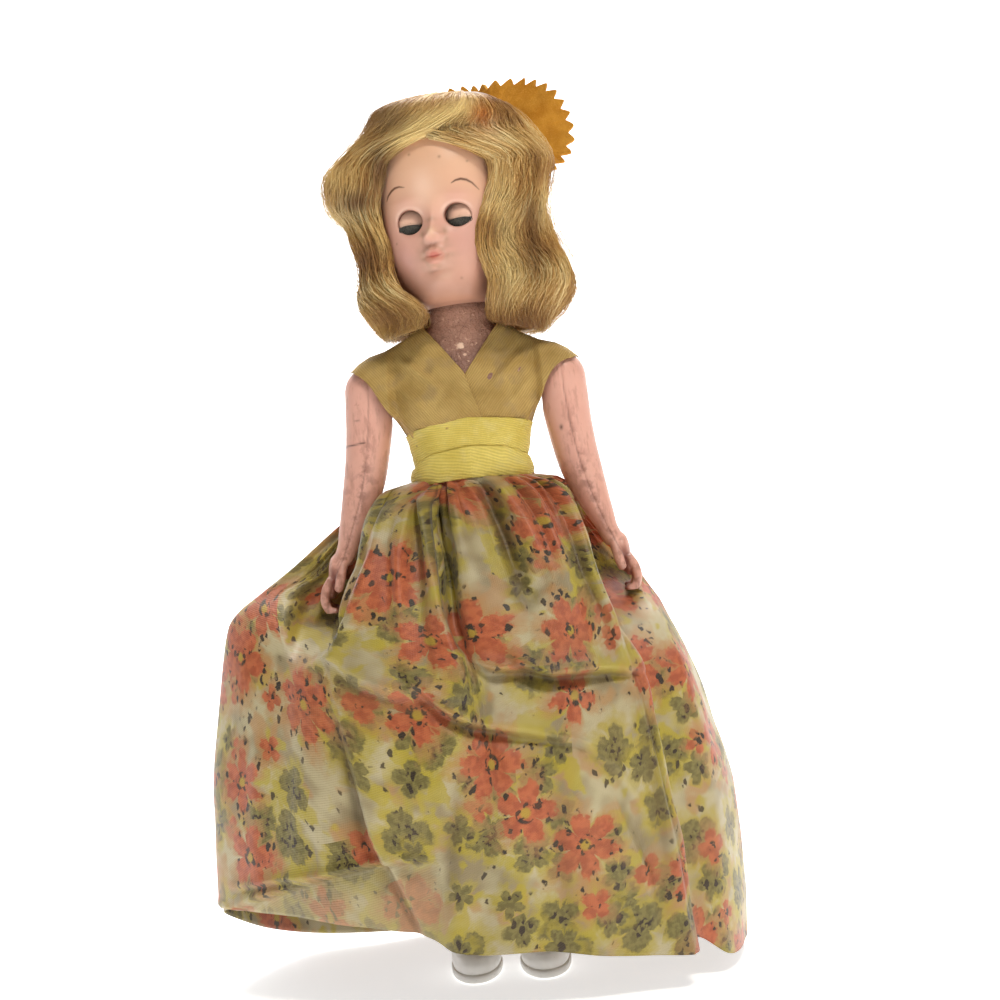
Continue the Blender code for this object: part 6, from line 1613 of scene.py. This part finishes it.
def make_skirt():
    levels, cols = 128, 372
    v = np.linspace(0, 1, levels)
    k = len(FOLDS)
    tracks = np.zeros((levels, k, 3))
    for i, (name, line, hem) in enumerate(FOLDS):
        arr = np.array(line)
        x0, y0 = arr[0, 1], arr[0, 2]
        q = math.hypot(x0 / 12.3, y0 / 9.2)
        start = (112.4, x0 / q, y0 / q)
        pts = np.array([start, (arr[0, 0] - 0.2 if arr[0, 0] > 110 else 110.2, x0 / q * 1.03, y0 / q * 1.03)] + [tuple(a) for a in arr if a[0] < 109.9])
        z = 112.4 + (hem - 112.4) * (v ** 0.93)
        tracks[:, i, 2] = z
        tracks[:, i, 0] = eased(pts[:, 0], pts[:, 1], z)
        tracks[:, i, 1] = eased(pts[:, 0], pts[:, 2], z)
    # columns between neighbouring fold lines, more where they lie further apart
    hem_pts = tracks[int(levels * 0.75)]
    gaps = np.linalg.norm(np.roll(hem_pts, -1, 0) - hem_pts, axis=1) + 2.0
    share = np.maximum(4, np.round(gaps / gaps.sum() * cols)).astype(int)
    knot = np.concatenate([[0], np.cumsum(share)])
    cols = knot[-1]
    g = np.zeros((levels, cols, 3))
    for i in range(k):
        a, b, c, d = (tracks[:, (i + o) % k] for o in (-1, 0, 1, 2))
        # centripetal curve, so that tight folds stay round and don't loop
        def dist(p, q):
            return np.sqrt(np.linalg.norm(p - q, axis=1) + 0.05)[:, None]
        t1 = dist(a, b)
        t2 = t1 + dist(b, c)
        t3 = t2 + dist(c, d)
        for j in range(share[i]):
            w = j / share[i]
            t = t1 + (t2 - t1) * w
            a1 = (t1 - t) / t1 * a + t / t1 * b
            a2 = (t2 - t) / (t2 - t1) * b + (t - t1) / (t2 - t1) * c
            a3 = (t3 - t) / (t3 - t2) * c + (t - t2) / (t3 - t2) * d
            b1 = (t2 - t) / t2 * a1 + t / t2 * a2
            b2 = (t3 - t) / (t3 - t1) * a2 + (t - t1) / (t3 - t1) * a3
            g[:, knot[i] + j] = (t2 - t) / (t2 - t1) * b1 + (t - t1) / (t2 - t1) * b2
    # lengths round and down the cloth
    closed = np.concatenate([g, g[:, :1]], 1)
    seg = np.linalg.norm(np.diff(closed, axis=1), axis=2)
    around = np.concatenate([np.zeros((levels, 1)), np.cumsum(seg, axis=1)], 1)
    hem_len = around[int(levels * 0.8)]
    # the print is laid panel by panel between deep folds, and jumps inside them
    down = np.concatenate([np.zeros((1, cols)), np.cumsum(np.linalg.norm(np.diff(g, axis=0), axis=2), axis=0)], 0)
    slack = down - (g[0, :, 2] - g[..., 2])
    reach = np.arange(-60, 61)
    weight = np.exp(-((reach / 24.0) ** 2))
    even = sum(w * np.roll(slack, int(r), 1) for r, w in zip(reach, weight)) / weight.sum()
    laid = even + (g[0, :, 2] - g[..., 2])
    vv = np.concatenate([laid, laid[:, :1]], 1)
    seams = [0, 6, 9, 13, 17, 20, 25, k]
    middles = [3, 7, 11, 15, 18, 22, 27]
    u_left, u_right = np.zeros((levels, cols)), np.zeros((levels, cols))
    for a, b, c in zip(seams, seams[1:], middles):
        cut = slice(knot[a], knot[b])
        ref = around[:, knot[c]:knot[c] + 1]
        base = hem_len[knot[c]] - (hem_len[-1] if a >= 20 else 0)
        u_left[:, cut] = around[:, knot[a]:knot[b]] - ref + base
        u_right[:, cut] = around[:, knot[a] + 1:knot[b] + 1] - ref + base
    low = smooth(94.0, 64.0, g[..., 2])
    shift = np.zeros(cols)
    shift[knot[20]:] = -hem_len[-1]
    u_left = u_left * (1 - low) + (hem_len[:-1] + shift) * low
    u_right = u_right * (1 - low) + (hem_len[1:] + shift) * low
    # outward direction in plan
    tang = np.roll(g, -1, 1) - np.roll(g, 1, 1)
    nrm = np.stack([tang[..., 1], -tang[..., 0], 0 * tang[..., 0]], -1)
    nrm /= np.linalg.norm(nrm, axis=2)[..., None] + 1e-9
    outward = np.sign((nrm[..., :2] * (g[..., :2])).sum(-1).mean())
    nrm *= outward
    x, y, z = g[..., 0], g[..., 1], g[..., 2]
    front = smooth(4, -10, y)
    # gathers under the sash
    col_pos = np.arange(cols) / cols
    gather = np.sin(col_pos * 2 * np.pi * 46 + 1.2 * np.sin(col_pos * 2 * np.pi * 7)) + 0.5 * np.sin(col_pos * 2 * np.pi * 29 + 2.0)
    depth = smooth(110.4, 107.5, z) * (0.55 * smooth(84, 104, z) + 0.35 * smooth(97, 106, z))
    push = gather[None, :] * depth * 1.7
    # broad hollows and small dents of worn cloth
    uvp = np.stack([hem_len[:-1] + 0 * down, down, 0 * down], -1)
    big = lumps(uvp, 17.0, 2) * 1.0 + lumps(uvp, 8.0, 7) * 0.42 + lumps(uvp, 3.6, 4) * 0.10
    push = push + big * smooth(104, 84, z) * (0.45 + 0.35 * front)
    # deep gathers painted shade for the folds' hollows
    deep = 0 * x
    # creases drawn across the front: (x, z) line, height, width, softness below
    for line, h, w in (
        ([(1.2, 107.5), (4.4, 99.2), (7.6, 88.3), (8.7, 82.6)], -1.7, 1.1),
        ([(5.2, 105.5), (8.6, 97.0), (11.6, 88.6), (12.6, 84.0)], 0.9, 1.4),
        ([(4.7, 91.7), (6.6, 85.6), (9.6, 81.8), (12.8, 85.2), (15.0, 92.0)], -0.9, 1.5),
        ([(16.5, 104.0), (20.0, 96.0), (23.0, 86.0), (26.0, 77.0)], -1.2, 1.2),
        ([(13.0, 104.0), (16.6, 94.0), (20.0, 82.0), (22.0, 72.0)], 0.8, 1.6),
        ([(-14.5, 104.0), (-17.0, 94.0), (-18.0, 84.0), (-18.5, 74.0)], 0.9, 1.5),
        ([(-11.8, 104.0), (-12.6, 94.0), (-12.8, 82.0), (-11.6, 70.0)], -1.1, 1.3),
        ([(-33.5, 76.0), (-28.0, 70.5), (-20.0, 67.0), (-12.0, 66.5)], 1.0, 1.8),
        ([(-33.5, 72.0), (-28.0, 66.5), (-20.0, 63.5), (-12.0, 63.0)], -0.8, 1.8),
        ([(-34.0, 62.0), (-30.0, 46.0), (-31.0, 33.0)], -0.9, 2.2),
        ([(-7.0, 50.0), (-9.5, 36.0), (-12.0, 20.0)], -0.9, 2.0),
        ([(31.5, 60.0), (33.5, 44.0), (34.5, 22.0)], -0.8, 2.0),
        ([(4.5, 71.6), (7.5, 69.1), (13.1, 66.4), (23.4, 66.6), (31.1, 65.8)], -1.3, 0.9),
        ([(4.5, 74.2), (7.5, 71.7), (13.1, 69.0), (23.4, 69.2), (31.1, 68.4)], 1.2, 1.5),
        ([(-12.4, 60.3), (-1.0, 57.0), (6.3, 55.6), (14.9, 53.6)], -1.0, 0.9),
        ([(-12.4, 63.0), (-1.0, 59.7), (6.3, 58.3), (14.9, 56.3)], 0.9, 1.6),
        ([(-12.0, 76.0), (-6.0, 71.0), (0.0, 69.0), (5.0, 70.5)], 0.6, 1.3),
        ([(-26.0, 60.0), (-24.0, 45.0), (-26.0, 30.0)], 0.7, 2.4),
        ([(-14.0, 58.0), (-16.5, 42.0), (-18.0, 28.0)], 0.6, 2.2),
        ([(24.0, 58.0), (24.5, 40.0), (24.0, 20.0)], 0.6, 2.2),
        ([(2.0, 52.0), (4.0, 35.0), (4.0, 18.0)], 0.6, 2.2),
        ([(-50.0, 62.0), (-52.0, 45.0), (-53.0, 28.0)], 0.7, 2.0),
        ([(13.0, 47.0), (12.0, 30.0), (13.5, 14.0)], -0.6, 2.0),
        ([(-9.2, 106.8), (-9.1, 100.4)], -0.8, 0.45),
        ([(-7.3, 106.9), (-7.4, 97.5)], -0.9, 0.5),
        ([(-5.1, 106.9), (-4.8, 98.5)], -0.8, 0.45),
        ([(-2.9, 107.3), (-1.6, 101.3)], -0.7, 0.5),
        ([(0.2, 108.9), (2.5, 103.7)], -0.9, 0.6),
        ([(10.8, 109.0), (12.7, 103.3)], -0.6, 0.6),
        ([(15.4, 108.2), (18.0, 102.1)], -0.8, 0.7),
    ):
        d, al, _ = near_line(x, z, line)
        taper = np.sin(np.pi * np.clip(al, 0.03, 0.97)) ** 0.6 * front
        push = push + 1.25 * h * np.exp(-((d / w) ** 2)) * taper
        # painted shade along the grooves
        deep = deep + max(0.0, -h) * 0.8 * np.exp(-((d / (0.8 * w)) ** 2)) * taper
    # edges where one fold lies over the next: (x, z) line with the upper cloth on its left, height, width
    for line, h, w in (
        ([(-4.4, 71.8), (1.4, 69.1), (7.3, 68.6), (13.9, 66.7), (22.1, 66.7), (30.3, 66.1)], 1.7, 2.4),
        ([(-15.9, 67.6), (-11.1, 62.8), (-4.0, 57.8), (6.2, 55.1), (17.9, 53.0)], 1.2, 2.2),
        ([(-4.6, 69.6), (-8.2, 82.4), (-9.5, 95.2), (-9.6, 105.9)], 1.1, 2.0),
        ([(9.4, 84.7), (6.8, 90.1), (3.8, 99.4), (0.9, 107.4)], 1.1, 1.8),
        ([(30.6, 66.0), (28.4, 77.2), (23.8, 92.5), (20.8, 105.0)], 1.0, 2.0),
        ([(38.9, 8.2), (36.8, 28.5), (34.6, 47.2), (32.5, 58.6), (30.6, 66.0)], 0.9, 2.2),
        ([(-32.2, 59.3), (-29.5, 46.4), (-26.7, 35.1), (-21.6, 24.2), (-16.6, 11.9)], 1.1, 2.4),
        ([(-23.2, 96.3), (-25.8, 91.2), (-29.2, 83.3), (-33.4, 75.2), (-39.5, 72.4)], 1.3, 2.4),
        ([(-58.8, 24.2), (-48.2, 26.7), (-38.4, 28.5), (-27.8, 30.7)], 0.7, 1.3),
        ([(-17.8, 72.8), (-18.2, 84.6), (-18.6, 95.9), (-17.3, 105.7)], -0.8, 2.4),
        ([(17.9, 53.0), (24.2, 47.3), (29.4, 38.0)], 0.6, 2.0),
        ([(31.7, 11.7), (30.6, 25.2), (25.7, 38.3)], 0.7, 2.4),
    ):
        d, al, sd = near_line(x, z, line)
        edge = np.tanh(sd * d / (0.34 * w)) * np.exp(-((d / w) ** 2))
        taper = np.sin(np.pi * np.clip(al, 0.04, 0.96)) ** 0.5 * front
        push = push + 1.9 * h * edge * taper
        # painted shade on the under side of each overlapping edge
        deep = deep + 0.75 * max(0.0, h) * np.exp(-((d / (0.55 * w)) ** 2)) * (0.5 - 0.5 * np.tanh(sd * d / (0.2 * w))) * taper
    # the hem's lower left corner is folded under along a slanting edge
    slant, _, sd = near_line(x, z, [(-60.0, 19.0), (-54.8, 21.8), (-43.1, 26.3), (-36.1, 28.3), (-26.2, 30.5), (-17.0, 30.8)])
    below = np.interp(x, [-60, -54.8, -43.1, -36.1, -26.2, -15.0, -11.0], [19, 21.8, 26.3, 28.3, 30.5, 31.0, 31.0])
    under = smooth(0.25, -0.35, z - below) * smooth(-9.0, -17.0, x) * front
    push = push - 2.4 * under + 0.55 * np.exp(-(((z - below - 0.9) / 0.9) ** 2)) * smooth(-12.0, -20.0, x) * front
    g = g + nrm * push[..., None]
    gx, gy = arm_clear(g[..., 0], g[..., 1], g[..., 2])
    g[..., 0], g[..., 1] = gx, gy
    g[..., 2] = np.maximum(g[..., 2], 0.35)
    flip = outward > 0
    faces = grid_faces(levels, cols, True, flip=flip)
    corner = [(u_left[:-1], vv[:-1, :-1]), (u_right[:-1], vv[:-1, 1:]), (u_right[1:], vv[1:, 1:]), (u_left[1:], vv[1:, :-1])]
    if flip:
        corner = [corner[0], corner[3], corner[2], corner[1]]
    uv = np.stack([np.stack(c, -1) for c in corner], 2).reshape(-1, 2)
    # deep also gets painted shade along the hem's folded-under edge and in the gathers' hollows under the sash
    o = build("gathered_skirt", g.reshape(-1, 3), faces, PRINT, uv=uv, values={"under": under.ravel(), "deep": np.clip(deep + 0.5 * np.exp(-(((z - below + 0.3) / 0.6) ** 2)) * smooth(-12.0, -20.0, x) * front + 0.30 * smooth(105.5, 109.0, z) * np.clip(0.4 - 0.6 * gather, 0, 1)[None, :], 0, 1).ravel()})
    area = area_of(o)
    thicken(o, 0.24, -1.0)
    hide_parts("skirt")
    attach(o, "torso")
    print("skirt: area", round(area, 5), "hem length", round(float(around[-1, -1]), 1), "down", round(float(down[-1].mean()), 1), "cols", cols)


# ---- shoes -------------------------------------------------------------------------------
SHOE_OUT = [(0.0, 5.5, 15.9, 6.7), (0.4, 5.8, 16.3, 7.0), (1.7, 5.8, 16.3, 7.0), (2.0, 5.5, 15.9, 6.6), (4.6, 5.6, 15.7, 6.5), (6.8, 5.3, 13.4, 6.3), (8.6, 5.0, 9.6, 6.0), (10.2, 4.7, 6.4, 5.7)]


def make_shoes():
    for side, name in ((-1, "right"), (1, "left")):
        prof = [(0.02, 5.35, 15.7, 6.5), (0.12, 5.62, 16.1, 6.8), (0.5, 5.78, 16.28, 6.98), (1.1, 5.8, 16.3, 7.0), (1.6, 5.76, 16.26, 6.96), (1.82, 5.6, 16.05, 6.8), (1.95, 5.42, 15.8, 6.55)]
        zz = np.linspace(2.2, 10.0, 26)
        upper = np.array([(2.0, 5.42, 15.8, 6.5), (3.4, 5.62, 15.95, 6.6), (4.8, 5.62, 15.5, 6.5), (6.4, 5.4, 13.9, 6.4), (7.8, 5.15, 11.2, 6.2), (8.8, 4.98, 9.0, 6.0), (10.1, 4.72, 6.6, 5.75)])
        for q in zz:
            prof.append((q, *[float(eased(upper[:, 0], upper[:, k], q)) for k in (1, 2, 3)]))
        prof += [(10.15, 4.6, 6.45, 5.65), (10.1, 4.3, 6.1, 5.35), (9.4, 4.15, 6.0, 5.2), (7.6, 4.4, 10.0, 5.3), (5.0, 4.8, 13.6, 5.5), (3.0, 4.6, 14.2, 5.2), (2.6, 3.6, 12.0, 4.2), (2.55, 0.4, 1.0, 0.4)]
        n = 72
        t = np.linspace(0, 2 * np.pi, n + 1)[:-1]
        rings = []
        for z, a, f, b in prof:
            x, y = oval(t, a, a, f, b, 2.1)
            rings.append(np.stack([x * 1 + side * 7.7, y, np.full(n, z)], -1))
        v = np.concatenate(rings)
        o = build(f"moulded_shoe_{name}", v, np.concatenate([grid_faces(len(prof), n, True)]), SHOE)
        bm = bmesh.new()
        bm.from_mesh(o.data)
        bm.verts.ensure_lookup_table()
        bm.faces.new([bm.verts[i] for i in range(n)][::-1])
        bm.faces.new([bm.verts[(len(prof) - 1) * n + i] for i in range(n)])
        bmesh.ops.recalc_face_normals(bm, faces=bm.faces)
        bm.to_mesh(o.data)
        bm.free()
        o.data.set_sharp_from_angle(angle=math.radians(50))
        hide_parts(f"shoe_{name}")
        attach(o, "torso")


# ---- carried-over pieces ----------------------------------------------------------------
def finish_nodes():
    for name, mat in {
        "eye_bridge": PLATED, "eye_crossbar": PLATED, "eye_weight": LEAD, "ornament_pin": PLATED,
        "snap_upper": PLATED, "snap_lower": PLATED, "arm_elastic": CORD, "head_elastic": CORD, "torso_anchor_bar": PLATED,
        "head_anchor_bar": PLATED, "head_hook": PLATED, "arm_right_hook": PLATED, "arm_left_hook": PLATED,
    }.items():
        NODES[name].data.materials.clear()
        NODES[name].data.materials.append(mat)


# ---- stage, lights, camera --------------------------------------------------------------
def make_stage():
    f = Finish("pale_backdrop", 0.9, Specular_IOR_Level=0.1)
    f.colour((0.93, 0.93, 0.925))
    f.b.inputs["Emission Color"].default_value = (1, 1, 1, 1)
    f.b.inputs["Emission Strength"].default_value = 0.66
    pts = []
    for q in np.linspace(0, 1, 40):
        if q < 0.4:
            pts.append((-0.9 + 1.4 * q / 0.4, 0.0))
        elif q < 0.7:
            a = (q - 0.4) / 0.3 * math.pi / 2
            pts.append((0.5 + 0.5 * math.sin(a), 0.5 - 0.5 * math.cos(a)))
        else:
            pts.append((1.0, 0.5 + 1.1 * (q - 0.7) / 0.3))
    v = []
    for y, z in pts:
        for x in np.linspace(-2.2, 2.2, 12):
            v.append((x * 1000 - BODY_X, y * 1000, z * 1000 - 0.15))
    o = build("backdrop", np.array(v), grid_faces(len(pts), 12), f.m)

    w = bpy.data.worlds.new("soft_room")
    bpy.context.scene.world = w
    w.use_nodes = True
    bg = w.node_tree.nodes["Background"]
    bg.inputs["Color"].default_value = (1.0, 0.985, 0.96, 1)
    bg.inputs["Strength"].default_value = 0.12

    def area(name, at, target, size, power, colour=(1, 1, 1)):
        l = bpy.data.lights.new(name, "AREA")
        l.shape, l.size, l.energy, l.color = "DISK", size, power, colour
        ob = bpy.data.objects.new(name, l)
        bpy.context.scene.collection.objects.link(ob)
        ob.location = at
        ob.rotation_euler = (Vector(target) - Vector(at)).to_track_quat("-Z", "Y").to_euler()

    area("key", (0.20, -0.42, 0.76), (0, 0, 0.10), 0.17, 3.2, (1.0, 0.95, 0.875))
    area("fill", (0.50, -0.55, 0.28), (0, 0, 0.1), 0.5, 0.50, (1.0, 0.97, 0.93))
    area("top", (0.05, 0.30, 0.70), (0, 0, 0.12), 0.5, 0.7)
    area("backdrop_wash", (0.0, 0.55, 1.2), (0, 0.9, 0.3), 0.9, 16.0)
    bpy.context.scene.view_settings.view_transform = "Standard"


def make_camera():
    c = bpy.data.cameras.new("camera")
    c.lens, c.sensor_width, c.sensor_fit = 75.2, 36.0, "AUTO"
    c.clip_start, c.clip_end = 0.01, 20
    o = bpy.data.objects.new("camera", c)
    bpy.context.scene.collection.objects.link(o)
    o.matrix_world = Matrix.Translation((0.01105, -0.47, 0.1045)) @ Matrix.Rotation(math.radians(90), 4, "X") @ Matrix.Rotation(math.radians(-4.6), 4, "Z")
    bpy.context.scene.camera = o


make_camera()
make_stage()
make_body()
make_head()
make_cap()
make_eyes()
make_hair()
make_rosette()
make_arm(-1)
make_arm(1)
make_bodice()
make_sash()
make_skirt()
make_shoes()
finish_nodes()
